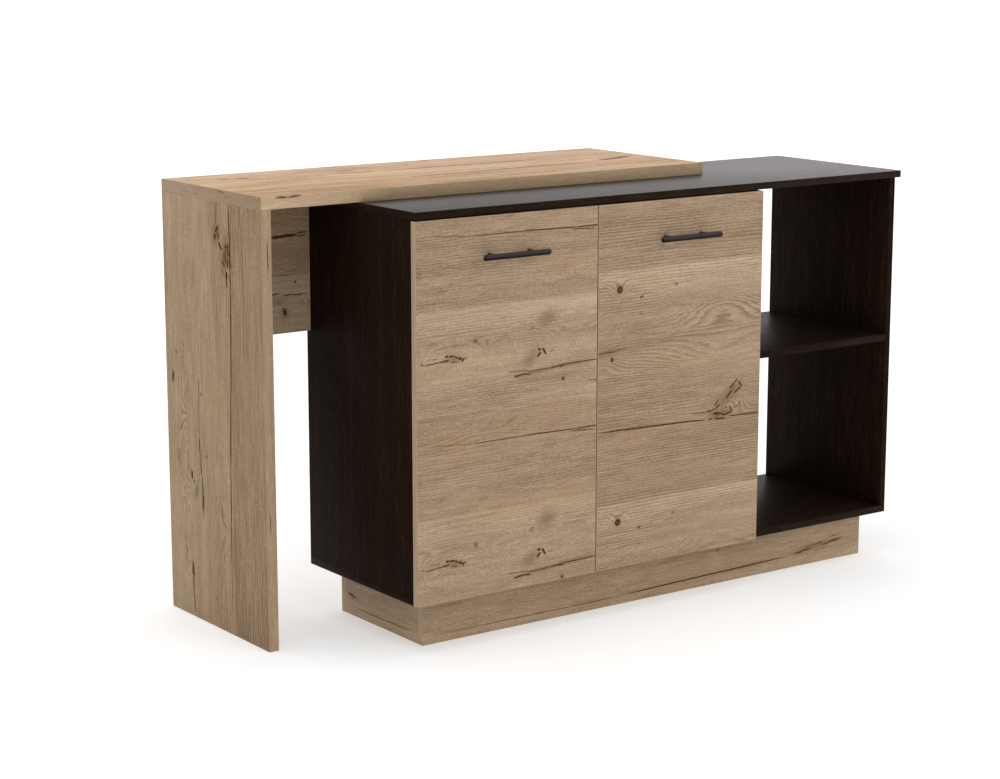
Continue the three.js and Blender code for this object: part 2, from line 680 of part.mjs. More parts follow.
// The mounting plate lies on the panel's face, which is the plane X = 0, with its screws at Y = 0.
function mountingPlate(side) {
  const box = (low, high) => {
    const xs = [side * low[0], side * high[0]].sort((a, b) => a - b);
    return block([xs[0], low[1], low[2]], [xs[1], high[1], high[2]]);
  };
  const wing = box(
    [0, -PLATE_WING_WIDTH / 2, -PLATE_WING_LENGTH / 2],
    [PLATE_SHEET, PLATE_WING_WIDTH / 2, PLATE_WING_LENGTH / 2],
  );
  const spine = box(
    [0, -PLATE_REACH_FRONT, -PLATE_SPINE_WIDTH / 2], [PLATE_SHEET, PLATE_REACH_BACK, PLATE_SPINE_WIDTH / 2],
  );
  const ridge = box(
    [PLATE_SHEET / 2, -PLATE_REACH_FRONT, -PLATE_RIDGE_WIDTH / 2],
    [PLATE_SHEET + PLATE_RIDGE_HEIGHT, PLATE_REACH_BACK, PLATE_RIDGE_WIDTH / 2],
  );
  const screws = [-1, 1].flatMap((way) => {
    const z = way * PLATE_SCREW_SPACING / 2;
    const middle = PLATE_SHEET / 2;
    const head = PLATE_SHEET + PLATE_SCREW_HEAD_HEIGHT;
    return [
      rod('x', [side * middle, 0, z], -side * (PLATE_SCREW_LENGTH + middle), PLATE_SCREW_DIAMETER),
      rod('x', [side * head, 0, z], -side * (head - middle), PLATE_SCREW_HEAD_DIAMETER),
    ];
  });
  return joined([wing, spine, ridge, ...screws]);
}

function circleOutline([x, y], radius, facets) {
  return Array.from({ length: facets }, (_, i) => {
    const angle = 2 * Math.PI * i / facets;
    return [x + radius * Math.cos(angle), y + radius * Math.sin(angle)];
  });
}

function mirroredPlate(outline, width, side) {
  return plate(outline.map(([x, y]) => [side * x, y]), width);
}

// The arm is a channel over the plate's ridge; it rises to a nose that carries the link's pivot.
// Here X is the height above the panel's face and Y is measured back from the pivot.
function hingeArm(side) {
  const foot = PLATE_SHEET + CLEARANCE;
  const ridgeTop = PLATE_SHEET + PLATE_RIDGE_HEIGHT + CLEARANCE;
  const top = ridgeTop + ARM_SHEET;
  const nose = ARM_NOSE_DIAMETER / 2;
  const high = ARM_PIVOT_HEIGHT + nose;
  const plateStart = PLATE_SETBACK - PLATE_REACH_FRONT - OVERCUT;
  const outline = [
    [foot, ARM_LENGTH], [top, ARM_LENGTH], [top, ARM_BEND], [high, ARM_SHOULDER], [high, 0],
    [ARM_PIVOT_HEIGHT - nose, 0], [foot, plateStart],
  ];
  const mouth = nose + CLEARANCE;
  const channel = [
    [foot - OVERCUT, ARM_LENGTH + OVERCUT], [ridgeTop, ARM_LENGTH + OVERCUT], [ridgeTop, ARM_BEND],
    [high - ARM_SHEET, ARM_SHOULDER], [high - ARM_SHEET, mouth], [high + OVERCUT, mouth],
    [high + OVERCUT, -nose - OVERCUT], [foot - OVERCUT, -nose - OVERCUT],
  ];
  const centre = [ARM_PIVOT_HEIGHT, 0];
  const pinHole = circleOutline(centre, PIVOT_PIN_DIAMETER / 2 + CLEARANCE, SMALL_ROUND);
  const cheeks = joined([
    mirroredPlate(outline, ARM_WIDTH, side),
    mirroredPlate(circleOutline(centre, nose, SMALL_ROUND), ARM_WIDTH, side),
  ]);
  return cut(cheeks, [
    mirroredPlate(channel, ARM_WIDTH - 2 * ARM_SHEET, side),
    mirroredPlate(pinHole, ARM_WIDTH + OVERCUT, side),
  ]);
}

// The link's middle line: a bowed curve from the arm's pivot to just short of the cup's pin.
function linkCurve() {
  const pin = cupPin();
  const [dx, dy] = [pin[0] - ARM_PIVOT[0], pin[1] - ARM_PIVOT[1]];
  const chord = Math.hypot(dx, dy);
  const reach = chord - LINK_TIP_CLEARANCE;
  const [ux, uy] = [dx / chord, dy / chord];
  const at = (along, bow) => new THREE.Vector2(along * ux - bow * uy, along * uy + bow * ux);
  const root = at(LINK_ROOT_SHARE * reach, LINK_ROOT_BOW);
  const tip = at(LINK_TIP_SHARE * reach, LINK_TIP_BOW);
  return new THREE.CubicBezierCurve(at(0, 0), root, tip, at(reach, 0));
}

function hingeLink(side) {
  const curve = linkCurve();
  const steps = Array.from({ length: LINK_STEPS + 1 }, (_, i) => i / LINK_STEPS);
  const edge = (way) => steps.map((t) => {
    const point = curve.getPoint(t);
    const tangent = curve.getTangent(t);
    const half = way * LINK_THICKNESS / 2;
    return [point.x - half * tangent.y, point.y + half * tangent.x];
  });
  const tip = curve.getPoint(1);
  const pinLength = ARM_WIDTH + CLEARANCE;
  const parts = [
    [[...edge(1), ...edge(-1).reverse()], LINK_WIDTH],
    [circleOutline([tip.x, tip.y], LINK_THICKNESS / 2, SMALL_ROUND), LINK_WIDTH],
    [circleOutline([0, 0], LINK_EYE_DIAMETER / 2, SMALL_ROUND), LINK_WIDTH],
    [circleOutline([0, 0], PIVOT_PIN_DIAMETER / 2, SMALL_ROUND), pinLength],
  ];
  return joined(parts.map(([outline, width]) => mirroredPlate(outline, width, side)));
}

function hinges() {
  for (const door of DOORS) {
    for (const level of HINGE_LEVELS) {
      const label = (piece) => `${door.name}_${level.name}_hinge_${piece}`;
      const pivotY = DOOR_FRONT + ARM_PIVOT[1];
      const panelFace = door.edge + door.side * CARCASS_BOARD;
      const cupX = door.edge + door.side * CUP_CENTRE_INSET;
      const pivotX = door.edge + door.side * ARM_PIVOT[0];
      place(label('cup'), hingeCup(), STEEL, [cupX, DOOR_BACK, level.z]);
      place(label('plate'), mountingPlate(door.side), STEEL, platePlace(door, level));
      place(label('arm'), hingeArm(door.side), STEEL, [panelFace, pivotY, level.z]);
      place(label('link'), hingeLink(door.side), STEEL, [pivotX, pivotY, level.z]);
    }
  }
}

sidePanels();
partition();
baseAndTop();
backPanel();
shelves();
shelfPins();
plinth();
barTop();
legPanel();
stretcherPanel();
jointScrews();
camFittings();
bumpers();
doors();
handles();
hinges();

unit.position.set(
  -(LEG_OUTER + CABINET_RIGHT) / 2,
  -(DOOR_FRONT - HANDLE_PROJECTION + BAR_BACK) / 2,
  0,
);

export default unit;
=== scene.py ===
import json
import math

import bpy
from bpy.props import FloatProperty, FloatVectorProperty, IntProperty, PointerProperty
from bpy.types import Operator, Panel, PropertyGroup
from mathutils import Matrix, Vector


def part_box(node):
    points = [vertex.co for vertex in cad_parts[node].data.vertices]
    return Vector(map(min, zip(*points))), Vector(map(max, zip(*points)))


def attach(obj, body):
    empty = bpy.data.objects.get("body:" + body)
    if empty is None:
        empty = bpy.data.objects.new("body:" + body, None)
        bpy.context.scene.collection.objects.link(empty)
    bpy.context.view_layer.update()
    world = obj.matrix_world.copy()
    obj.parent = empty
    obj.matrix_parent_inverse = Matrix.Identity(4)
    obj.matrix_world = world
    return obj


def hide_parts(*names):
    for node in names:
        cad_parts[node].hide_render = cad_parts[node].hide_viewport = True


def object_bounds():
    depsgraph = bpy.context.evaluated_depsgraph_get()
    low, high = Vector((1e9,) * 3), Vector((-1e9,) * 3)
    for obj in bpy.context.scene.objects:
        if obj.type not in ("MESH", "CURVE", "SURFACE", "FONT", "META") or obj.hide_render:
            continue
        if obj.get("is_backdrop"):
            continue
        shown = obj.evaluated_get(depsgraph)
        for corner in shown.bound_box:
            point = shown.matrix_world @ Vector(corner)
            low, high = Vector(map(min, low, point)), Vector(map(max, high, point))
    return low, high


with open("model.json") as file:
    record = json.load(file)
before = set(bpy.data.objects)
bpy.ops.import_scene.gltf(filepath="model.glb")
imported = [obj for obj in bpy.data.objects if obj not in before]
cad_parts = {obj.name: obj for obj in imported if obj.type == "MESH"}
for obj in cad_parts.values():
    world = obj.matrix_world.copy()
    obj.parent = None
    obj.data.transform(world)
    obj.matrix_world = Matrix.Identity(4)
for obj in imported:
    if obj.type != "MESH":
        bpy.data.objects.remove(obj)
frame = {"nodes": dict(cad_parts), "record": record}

bl_info = {
    "name": "Kitchen island unit",
    "version": (1, 0, 0),
    "blender": (4, 5, 0),
    "location": "3D View > Sidebar > Island",
    "description": "Dresses the packed kitchen island: boards, handles, hinges, fittings and a plain studio",
    "category": "Add Mesh",
}

CAD_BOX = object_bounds()
BODY_OF = {
    node: body
    for body, nodes in frame["record"]["behaviour"]["bodies"].items()
    for node in nodes
}
MM = 0.001
MERGE_DISTANCE = 1e-6  # corners this near each other, in metres, become one
TOUCH = 1e-5  # a corner this near a face or rim, in metres, lies on it
FLAT_ANGLE = 0.3  # faces that meet at less, in degrees, become one
SMOOTH_ANGLE = 35.0  # faces that meet at less, in degrees, are shaded as one curve

# The axes that the grain runs along, across and through a board.
ALONG_X, ALONG_X_UPRIGHT = (0, 1, 2), (0, 2, 1)
ALONG_Y_UPRIGHT, ALONG_Z_DEEP = (1, 2, 0), (2, 1, 0)

# The sides that have a door, and which way their hinges face along X.
SIDES = {"left": 1, "right": -1}
LEVELS = ("lower", "upper")
HINGE_PARTS = ("cup", "plate", "arm", "link")

# Details of the fittings, in mm. A recess is (reach of each arm, depth).
RECESS_WIDTH = 1.1
SCREW_RECESS = (2.5, 1.2)
PLATE_RECESS = (2.6, 1.0)
PLATE_SCREW_FACE = 13.6  # out from the plate's base
PLATE_SCREW_SETBACK = 14  # from the plate's front
PLATE_SCREW_RISE = 16  # up and down from the plate's middle
DOWEL_HEAD_RISE = 24  # up and down from the cup's middle
DOWEL_HEAD_RADIUS = 4.0
ARM_TOP = 7.3  # out from the arm's base
ARM_SCREW_SETBACKS = (28, 10)  # from the arm's back
ARM_SCREW_RADIUS = 3.2
HEAD_HEIGHT = 0.8
HEAD_ROUNDING = 0.48
HEAD_RECESS_DEPTH = 0.64
HEAD_RECESS_REACH = 0.6  # a share of the head's radius
HEAD_FACETS = 32
RIM_STEPS, BAR_END_STEPS = 3, 4  # faces across a rounded rim
HIGHLIGHT_FROM, HIGHLIGHT_TO = -4.5, 4.0  # up from the handle bar's middle, where its painted highlight turns it greyer

# The studio, in metres. A softbox is (place, target, size).
FLOOR_SIZE = 160.0
FLOOR_DROP = 0.0005  # below the unit's feet
GLOW_START, GLOW_END = 1.0, 5.0  # from the unit's middle
SOFTBOXES = {
    "overhead": ((-1.0, -0.2, 3.4), (-0.5, 0.0, 0.0), 3.6),
    "front": ((1.6, -4.2, 2.6), (0.0, 0.0, 0.4), 3.0),
}
# The room's light rises between these two, on a scale from -1 behind the camera to 1 straight ahead.
DIM_SIDE, BRIGHT_SIDE = -0.4, 0.6
SENSOR_WIDTH = 36.0  # of the camera, in mm


def srgb(red, green, blue):
    """A colour given in 0 to 255 screen steps, as linear light."""
    def linear(step):
        share = step / 255
        return share / 12.92 if share <= 0.04045 else ((share + 0.055) / 1.055) ** 2.4
    return (linear(red), linear(green), linear(blue), 1.0)


# ---- what the boards show: marks read, in mm from the board's low corner ----

# A seam, crack or stroke is (from along, from across, to along, to across, width, strength): a seam is long
# and smooth, a crack ragged, and a stroke short and soft. A knot or a shade is (along, across, length,
# width, turn in degrees, strength), and a swirl, which the growth rings flow round, is (along, across,
# length, width, push).
LEFT_DOOR_MARKS = dict(
    seam=(
        (30, 318, 140, 310, 2.6, 0.4), (120, 311, 275, 311, 3, 0.6), (240, 312, 400, 309, 3.4, 0.85),
        (380, 309, 450, 310, 3.4, 0.85), (15, 69, 80, 75, 3.2, 0.65), (212, 34, 272, 33, 3, 0.5),
        (258, 30, 332, 32, 3.6, 0.55), (316, 31, 364, 36, 4.4, 0.7), (344, 35, 452, 37, 3.4, 0.75),
    ),
    crack=(
        (362, 307, 444, 302, 5, 0.6), (312, 65, 336, 66, 3.6, 0.5), (336, 31, 366, 32, 5, 0.6),
        (196, 334, 254, 360, 13.5, 0.3), (0, 158, 230, 164, 4.1, 0.25),
    ),
    stroke=(
        (8, 74, 19, 70, 3.4, 0.6), (55, 72, 79, 75, 5.2, 0.75), (20, 80, 63, 80, 2.7, 0.45),
        (66, 82, 76, 82, 5.2, 0.9), (74, 82, 90, 81, 5.2, 0.9), (87, 82, 100, 75, 5, 0.75),
        (97, 75, 108, 74, 6.2, 1), (111, 76, 107, 67, 5.7, 0.95), (108, 74, 120, 74, 3.4, 0.55),
        (78, 70, 98, 69, 3.9, 0.5), (48, 69, 56, 61, 2.5, 0.35), (55, 62, 43, 54, 2.5, 0.35),
        (92, 63, 52, 53, 2.7, 0.3), (299, 68, 288, 56, 6.5, 1), (289, 73, 300, 72, 5.7, 0.95),
        (301, 76, 311, 59, 6.5, 1), (228, 23, 258, 26, 4.8, 0.8), (246, 26, 278, 24, 4.8, 0.8),
        (410, 405, 452, 404, 3, 0.45),
    ),
    knot=((139, 105, 12, 11, 0, 0.5), (276, 117, 14, 9, 30, 0.4), (353, 6, 9, 9, 0, 0.9)),
    shade=(
        (88, 75, 74, 28, 0, 0.7), (314, 134, 84, 56, 20, 0.6), (274, 58, 80, 44, 35, 0.6),
        (300, 30, 190, 18, 4, 0.6), (380, 36, 170, 18, 3, 0.6), (58, 208, 44, 14, 10, 0.4),
        (158, 197, 50, 12, 15, 0.35), (6, 245, 26, 44, 0, 0.35),
    ),
)
LEFT_DOOR_SWIRLS = (
    (92, 70, 330, 96, 60), (385, 84, 190, 76, 42), (22, 60, 80, 36, 22), (300, 70, 60, 44, 16),
    (170, 330, 360, 90, -16),
)
RIGHT_DOOR_MARKS = dict(
    seam=(
        (-6, 457, 52, 458, 4, 0.6), (-6, 292, 170, 289, 3.6, 0.9), (110, 290, 270, 286, 3.8, 0.95),
        (220, 288, 292, 284, 3.8, 0.95), (352, 285, 400, 284, 3.8, 0.9), (380, 284, 452, 282, 3.6, 0.9),
        (302, 301, 246, 302, 2.8, 0.7),
    ),
    crack=((104, 76, 119, 82, 7, 0.8), (410, 13, 446, 15, 5.4, 0.4)),
    stroke=(
        (40, 459, 84, 463, 3.4, 0.5), (377, 364, 365, 352, 4.8, 0.85), (369, 355, 352, 343, 5.2, 0.95),
        (377, 358, 390, 342, 5.9, 1), (389, 346, 364, 331, 5.2, 0.95), (372, 350, 356, 335, 4.1, 0.6),
        (362, 341, 344, 322, 5.7, 1), (324, 325, 312, 309, 5.2, 0.85), (330, 315, 314, 303, 5, 0.9),
        (320, 307, 294, 299, 4.6, 0.8), (305, 296, 334, 294, 6.2, 0.95), (329, 297, 342, 287, 5.7, 1),
        (337, 288, 363, 295, 6.2, 0.95), (354, 309, 362, 292, 4.8, 0.85), (339, 304, 350, 306, 4.6, 0.6),
        (309, 284, 347, 282, 5.7, 0.9), (294, 284, 311, 286, 6.2, 0.7), (389, 316, 370, 298, 3.2, 0.6),
    ),
    knot=(
        (55, 98, 19, 18, 0, 1), (203, 96, 9, 7, 0, 0.5), (110, 45, 9, 8, 0, 0.35),
        (36, 441, 9, 10, 0, 0.95), (297, 301, 9, 7, 0, 0.9),
    ),
    shade=((26, 455, 110, 26, 6, 0.5), (352, 330, 130, 50, 38, 0.65), (325, 292, 100, 36, 0, 0.85)),
)
RIGHT_DOOR_SWIRLS = (
    (-24, 20, 250, 72, 60), (330, 50, 400, 130, -40), (56, 98, 80, 50, 14), (340, 420, 560, 130, 40),
    (350, 318, 170, 90, -36), (10, 430, 160, 60, -18),
)
BAR_TOP_MARKS = dict(
    crack=(
        (74, 316, 120, 306, 14.6, 0.84), (104, 308, 162, 303, 17.1, 1), (350, 309, 408, 303, 19.4, 1),
        (180, 232, 340, 270, 8.5, 0.36), (320, 272, 440, 259, 12.2, 0.72),
        (420, 260, 900, 262, 12.2, 0.84), (60, 222, 400, 232, 9.7, 0.42), (400, 132, 700, 146, 11, 0.6),
        (560, 146, 960, 150, 12.2, 0.78), (940, 168, 1062, 196, 22, 1), (1000, 190, 1090, 212, 9.7, 0.6),
        (0, 98, 160, 104, 8.5, 0.36), (10, 40, 240, 60, 7.4, 0.36), (200, 96, 420, 100, 7.4, 0.3),
    ),
    stroke=((28, 3, 72, 5, 6.8, 0.9), (60, 5, 100, 2, 6.8, 0.85)),
    knot=((186, 353, 14, 10, 0, 0.45), (628, 378, 26, 14, 0, 0.8)),
    shade=(
        (350, 312, 150, 26, -4, 0.35), (985, 178, 200, 30, 12, 0.5), (394, 384, 44, 16, 0, 0.6),
        (1064, 128, 70, 16, -80, 0.3), (700, 64, 560, 18, 1, 0.3),
    ),
)
BAR_TOP_SWIRLS = (
    (186, 353, 160, 60, 14), (640, 370, 320, 70, 22), (380, 306, 200, 50, 12), (1000, 186, 260, 60, 16),
)
LEG_MARKS = dict(
    seam=(
        (880, 124, 690, 124, 4.4, 0.95), (730, 124, 480, 130, 4.4, 0.95), (540, 129, 320, 138, 4.4, 0.9),
        (360, 137, 220, 140, 4.2, 0.85), (255, 140, 130, 142, 3.8, 0.6), (160, 142, 40, 144, 3.2, 0.42),
        (520, 262, 375, 266, 3.4, 0.5), (314, 260, 264, 255, 4.4, 0.65), (56, 304, 6, 302, 4.4, 0.8),
    ),
    crack=(
        (560, 356, 540, 354, 6.6, 0.57), (150, 334, 130, 328, 6.6, 0.63), (250, 188, 200, 150, 5.3, 0.52),
        (860, 250, 640, 262, 3.1, 0.21),
    ),
    stroke=(
        (829, 168, 813, 181, 7.4, 0.95), (828, 187, 811, 189, 5.2, 0.45), (811, 185, 800, 179, 9.1, 1),
        (818, 170, 799, 165, 5.7, 0.75), (799, 169, 779, 155, 8, 0.95), (801, 131, 779, 132, 6.2, 0.85),
        (785, 132, 769, 124, 6.8, 0.9), (762, 159, 748, 142, 5.7, 0.7), (782, 147, 750, 139, 5.7, 0.6),
        (771, 133, 743, 133, 6.2, 0.85), (770, 124, 745, 122, 6.2, 0.7), (743, 139, 723, 139, 8, 1),
        (730, 139, 705, 140, 5.7, 0.6), (745, 161, 731, 147, 5.2, 0.4), (862, 176, 826, 180, 4, 0.3),
        (510, 370, 484, 372, 9.1, 1), (390, 266, 348, 265, 5, 0.7), (336, 263, 304, 260, 5.2, 0.85),
        (274, 256, 230, 256, 6.2, 0.95), (312, 300, 291, 300, 8.5, 1), (122, 306, 84, 308, 6.8, 0.95),
        (112, 300, 80, 303, 4.6, 0.6), (88, 307, 48, 304, 5.2, 0.8),
    ),
    knot=(
        (790, 141, 10, 8, 0, 0.8), (477, 253, 7, 6, 0, 0.75), (290, 292, 7, 6, 0, 0.8),
        (351, 238, 8, 6, 0, 0.75),
    ),
    shade=(
        (772, 143, 130, 48, -12, 0.95), (812, 176, 70, 36, -20, 0.8), (850, 178, 90, 24, -8, 0.35),
        (497, 371, 50, 22, 0, 0.5), (342, 262, 70, 18, 0, 0.6), (255, 257, 120, 24, 0, 0.7),
        (270, 284, 60, 26, -18, 0.65), (330, 356, 60, 28, 0, 0.5), (90, 305, 100, 22, 0, 0.6),
        (725, 274, 90, 26, 0, 0.3), (640, 262, 420, 9, 0, 0.3),
    ),
)
LEG_SWIRLS = (
    (330, 309, 360, 92, 60), (299, 297, 90, 40, 16), (150, 312, 240, 60, 30), (770, 150, 200, 80, -30),
    (215, 160, 260, 60, 24),
)
STRETCHER_MARKS = dict(
    crack=(
        (96, 196, 178, 199, 8.1, 0.9), (160, 200, 200, 205, 5.4, 0.75), (160, 196, 200, 195, 4.7, 0.6),
        (0, 190, 110, 196, 5.4, 0.7), (96, 80, 134, 82, 6, 0.65), (120, 78, 200, 76, 4.4, 0.6),
        (134, 56, 142, 30, 9, 0.95), (142, 52, 134, 32, 7, 0.85), (0, 117, 200, 118, 4.1, 0.35),
    ),
    knot=((163, 103, 6, 7, 0, 0.7),),
    shade=((120, 66, 60, 26, 0, 0.5), (138, 42, 46, 44, 0, 0.5)),
)
STRETCHER_SWIRLS = (
    (240, 34, 200, 90, 50), (60, 60, 160, 60, -20),
)
# The crack from 330 to 600 mm and the shade round 430 mm, about 84 to 92 mm up near the plinth front's top,
# are partly painted shadow: the shade under the cabinet, with a dark streak in it.
PLINTH_MARKS = dict(
    seam=((0, 17, 560, 19, 3, 0.45), (480, 19, 1010, 28, 3.8, 0.85)),
    crack=(
        (984, 28, 1060, 36, 5.5, 0.8), (1040, 40, 1100, 46, 4.5, 0.7), (1012, 36, 1066, 44, 4, 0.6),
        (1086, 50, 1140, 54, 4, 0.6), (1070, 36, 1150, 46, 5.5, 0.85), (330, 84, 600, 92, 8.1, 0.6),
    ),
    knot=((770, 74, 12, 8, 0, 0.5),),
    shade=((1060, 40, 240, 22, 4, 0.55), (430, 88, 460, 16, 1, 0.6), (60, 74, 160, 16, 0, 0.35)),
)
PLINTH_END_MARKS = dict(
    crack=((226, 40, 268, 46, 10.8, 0.9), (0, 20, 272, 18, 4.7, 0.5)),
    shade=((240, 42, 90, 20, 6, 0.5),),
)
BAR_EDGE_MARKS = dict(
    crack=((26, 23, 66, 21, 5.5, 1), (52, 21, 98, 23.5, 5.5, 0.95)),
    shade=((60, 20, 100, 8, 0, 0.5),),
)
BAR_END_MARKS = dict(
    crack=(
        (136, 9, 128, 17, 3.5, 0.85), (128, 17, 176, 24, 3.5, 0.8), (262, 10, 246, 7, 4, 0.8),
        (320, 9, 272, 10, 3, 0.4),
    ),
)
LEG_EDGE_MARKS = dict(
    crack=((820, 13, 745, 13.5, 4, 0.75), (292, 7.5, 230, 8.5, 4, 0.75)),
    shade=((500, 15, 420, 4, 0, 0.3),),
)


# ---- shader tree tools ----

def operator_pair(operation):
    """An operator that adds its Math node, and its reflected form."""
    def forward(self, other):
        return self.maths(operation, self, other)

    def reflected(self, other):
        return self.maths(operation, other, self)
    return forward, reflected


class Wire:
    """A shader socket that arithmetic can be done on."""

    def __init__(self, tree, socket):
        self.tree = tree
        self.socket = socket

    def maths(self, operation, *values):
        return self.tree.add("ShaderNodeMath", {"operation": operation}, dict(enumerate(values)))

    __add__, __radd__ = operator_pair("ADD")
    __sub__, __rsub__ = operator_pair("SUBTRACT")
    __mul__, __rmul__ = operator_pair("MULTIPLY")
    __truediv__, __rtruediv__ = operator_pair("DIVIDE")
    __mod__, __rmod__ = operator_pair("FLOORED_MODULO")
    __gt__, __lt__ = operator_pair("GREATER_THAN")

    def __abs__(self):
        return self.maths("ABSOLUTE", self)

    def top(self, other):
        """The larger of the two values."""
        return self.maths("MAXIMUM", self, other)

    def eased(self, low, high, to_low=0.0, to_high=1.0):
        """A smooth step from to_low, at low, to to_high, at high."""
        return self.tree.add(
            "ShaderNodeMapRange", {"interpolation_type": "SMOOTHSTEP", "clamp": False},
            {"Value": self, "From Min": low, "From Max": high, "To Min": to_low, "To Max": to_high},
        )


class ShaderTree:
    """The shader of a material, or of the world, under construction."""

    def __init__(self, owner):
        owner.use_nodes = True
        self.owner = owner
        self.nodes = owner.node_tree.nodes
        self.links = owner.node_tree.links
        self.nodes.clear()

    def add(self, kind, settings=None, sockets=None, out=0):
        """Adds a node: its settings or ramp stops first, then the values or wires of its sockets."""
        node = self.nodes.new(kind)
        for key, value in (settings or {}).items():
            if key == "stops":
                self.set_stops(node.color_ramp, value)
            else:
                setattr(node, key, value)
        for key, value in (sockets or {}).items():
            if isinstance(value, Wire):
                self.links.new(value.socket, node.inputs[key])
            else:
                node.inputs[key].default_value = value
        return Wire(self, node.outputs[out]) if node.outputs else None

    @staticmethod
    def set_stops(ramp, stops):
        while len(ramp.elements) < len(stops):
            ramp.elements.new(1.0)
        for element, (place, colour) in zip(ramp.elements, stops):
            element.position = place
            element.color = colour

    def ramp(self, share, *stops):
        """A colour from a share, by stops of (share, colour)."""
        return self.add("ShaderNodeValToRGB", {"stops": stops}, {0: share})

    def blend(self, share, first, second):
        """A colour between two, by a share from 0 to 1."""
        return self.add("ShaderNodeMix", {"data_type": "RGBA"}, {0: share, 6: first, 7: second}, out=2)

    def choose(self, share, first, second):
        """A vector between two, by a share from 0 to 1."""
        return self.add("ShaderNodeMix", {"data_type": "VECTOR"}, {0: share, 4: first, 5: second}, out=1)

    def vector(self, x, y, z):
        return self.add("ShaderNodeCombineXYZ", None, {0: x, 1: y, 2: z})

    def vector_maths(self, operation, *vectors, out=0):
        return self.add("ShaderNodeVectorMath", {"operation": operation}, dict(enumerate(vectors)), out)

    def noise(self, point, waves, detail=2.0, roughness=0.5):
        """Noise from 0 to 1, with its waves per metre along each axis of the point."""
        return self.add(
            "ShaderNodeTexNoise", None,
            {"Vector": self.vector_maths("MULTIPLY", point, waves), "Scale": 1.0, "Detail": detail,
             "Roughness": roughness},
        )

    def blot(self, point, along, across, length, width, turn=0.0, soft=1.0, blunt=False):
        """1 inside an ellipse that fades to 0 at its edge, over its soft share. Its place and size are in mm.
        A blunt one keeps its width nearly to its ends."""
        local = self.add(
            "ShaderNodeMapping", {"vector_type": "TEXTURE"},
            {"Vector": point, "Location": (along * MM, across * MM, 0.0),
             "Rotation": (0.0, 0.0, math.radians(turn)),
             "Scale": (length / 2 * MM, width / 2 * MM, THROUGH_ALL)},
        )
        if blunt:
            local = self.vector_maths("MULTIPLY", local, local)
        return self.vector_maths("LENGTH", local, out="Value").eased(1.0, 1.0 - soft)

    def object_parts(self):
        """The three coordinates of a point of the piece, in metres."""
        parts = self.add("ShaderNodeSeparateXYZ", None, {0: self.add("ShaderNodeTexCoord", out="Object")})
        return [Wire(self, socket) for socket in parts.socket.node.outputs]

    def surface(self, sockets, height=None, relief=0.0):
        """The finished material. A height, from 0 to 1, is a bump as deep as the relief, in mm."""
        if height is not None:
            sockets = dict(sockets, Normal=self.add(
                "ShaderNodeBump", None, {"Strength": 1.0, "Distance": relief * MM, "Height": height},
            ))
        shader = self.add("ShaderNodeBsdfPrincipled", None, sockets)
        self.add("ShaderNodeOutputMaterial", None, {"Surface": shader})
        return self.owner


def new_finish(name):
    """The shader tree of a new material."""
    return ShaderTree(bpy.data.materials.new(name))


# ---- finishes ----

THROUGH_ALL = 10.0  # how deep a mark reaches into its board, in metres: right through it
# The share of a mark over which it fades to its edge. A crack longer than LONG_CRACK, in mm, is softer than
# a short one and keeps its width nearly to its ends, as seams and strokes do.
SOFTNESS = {"seam": 0.6, "stroke": 0.9, "crack": 0.8, "long_crack": 0.97, "knot": 0.45, "heart": 0.8}
LONG_CRACK = 70
# A knot's paler heart as a share of its size, how much of its dark the heart takes away, and the soft halo
# round the knot as a share of its size and of its dark.
HEART_SIZE, HEART_FADE = 0.55, 0.5
HALO_SIZE, HALO_DARK = 2.0, 0.5
# How far the print wavers, in mm: slowly along the grain, and quickly at the rims of the marks.
RING_DRIFT, CHEVRON_DRIFT, STAVE_DRIFT, MARK_DRIFT = 34, 20, 16, 8
RIM_WAVERS = {"crack": 7.0, "stroke": 4.5, "seam": 2.2}
EDGE_WAVER = 2.5
CHEVRON_SOFTNESS = 0.7
# How near to a stave's seam its tone changes, and how far before the seam a glow starts to rise, in mm.
STAVE_SEAM, STAVE_GLOW = 1.0, 70.0
NO_TINT = (1.0, 1.0, 1.0)
GRAIN_MIDDLE = 0.55  # the oak's tone before its grain raises and lowers it


def layered(middle, *layers):
    """A value round its middle, which each layer of (noise, share) raises and lowers."""
    for noise, share in layers:
        middle = middle + (noise - 0.5) * share
    return middle


def darker(first, second):
    """The larger of two values, of which the first may be missing."""
    return second if first is None else first.top(second)


def line_on(tree, point, kind, along, across, to_along, to_across, width):
    """A seam, crack or stroke: 1 along its middle, fading to its edge."""
    run, rise = to_along - along, to_across - across
    length = math.hypot(run, rise)
    if kind == "crack" and length > LONG_CRACK:
        kind = "long_crack"
    lean = math.degrees(math.atan2(rise, run))
    middle = (along + run / 2, across + rise / 2)
    return tree.blot(point, *middle, length, width, lean, SOFTNESS[kind], blunt=kind != "crack")


def knot_on(tree, point, along, across, length, width, turn):
    """A knot: dark, with a paler heart."""
    whole = tree.blot(point, along, across, length, width, turn, SOFTNESS["knot"])
    heart_size = (length * HEART_SIZE, width * HEART_SIZE)
    heart = tree.blot(point, along, across, *heart_size, turn, SOFTNESS["heart"])
    return whole - heart * HEART_FADE


def marks_on(tree, points, marks):
    """How dark the marks make the wood: seams, cracks, strokes and knots, and soft shade. Each kind has its
    own point, which wavers more or less."""
    crisp, soft = None, None
    for kind, rows in marks.items():
        for *numbers, strength in rows:
            if kind == "shade":
                soft = darker(soft, tree.blot(points[kind], *numbers) * strength)
            elif kind == "knot":
                crisp = darker(crisp, knot_on(tree, points[kind], *numbers) * strength)
                along, across, length, width, turn = numbers
                halo = tree.blot(points["shade"], along, across, length * HALO_SIZE, width * HALO_SIZE, turn)
                soft = darker(soft, halo * (strength * HALO_DARK))
            else:
                crisp = darker(crisp, line_on(tree, points[kind], kind, *numbers) * strength)
    return crisp, soft


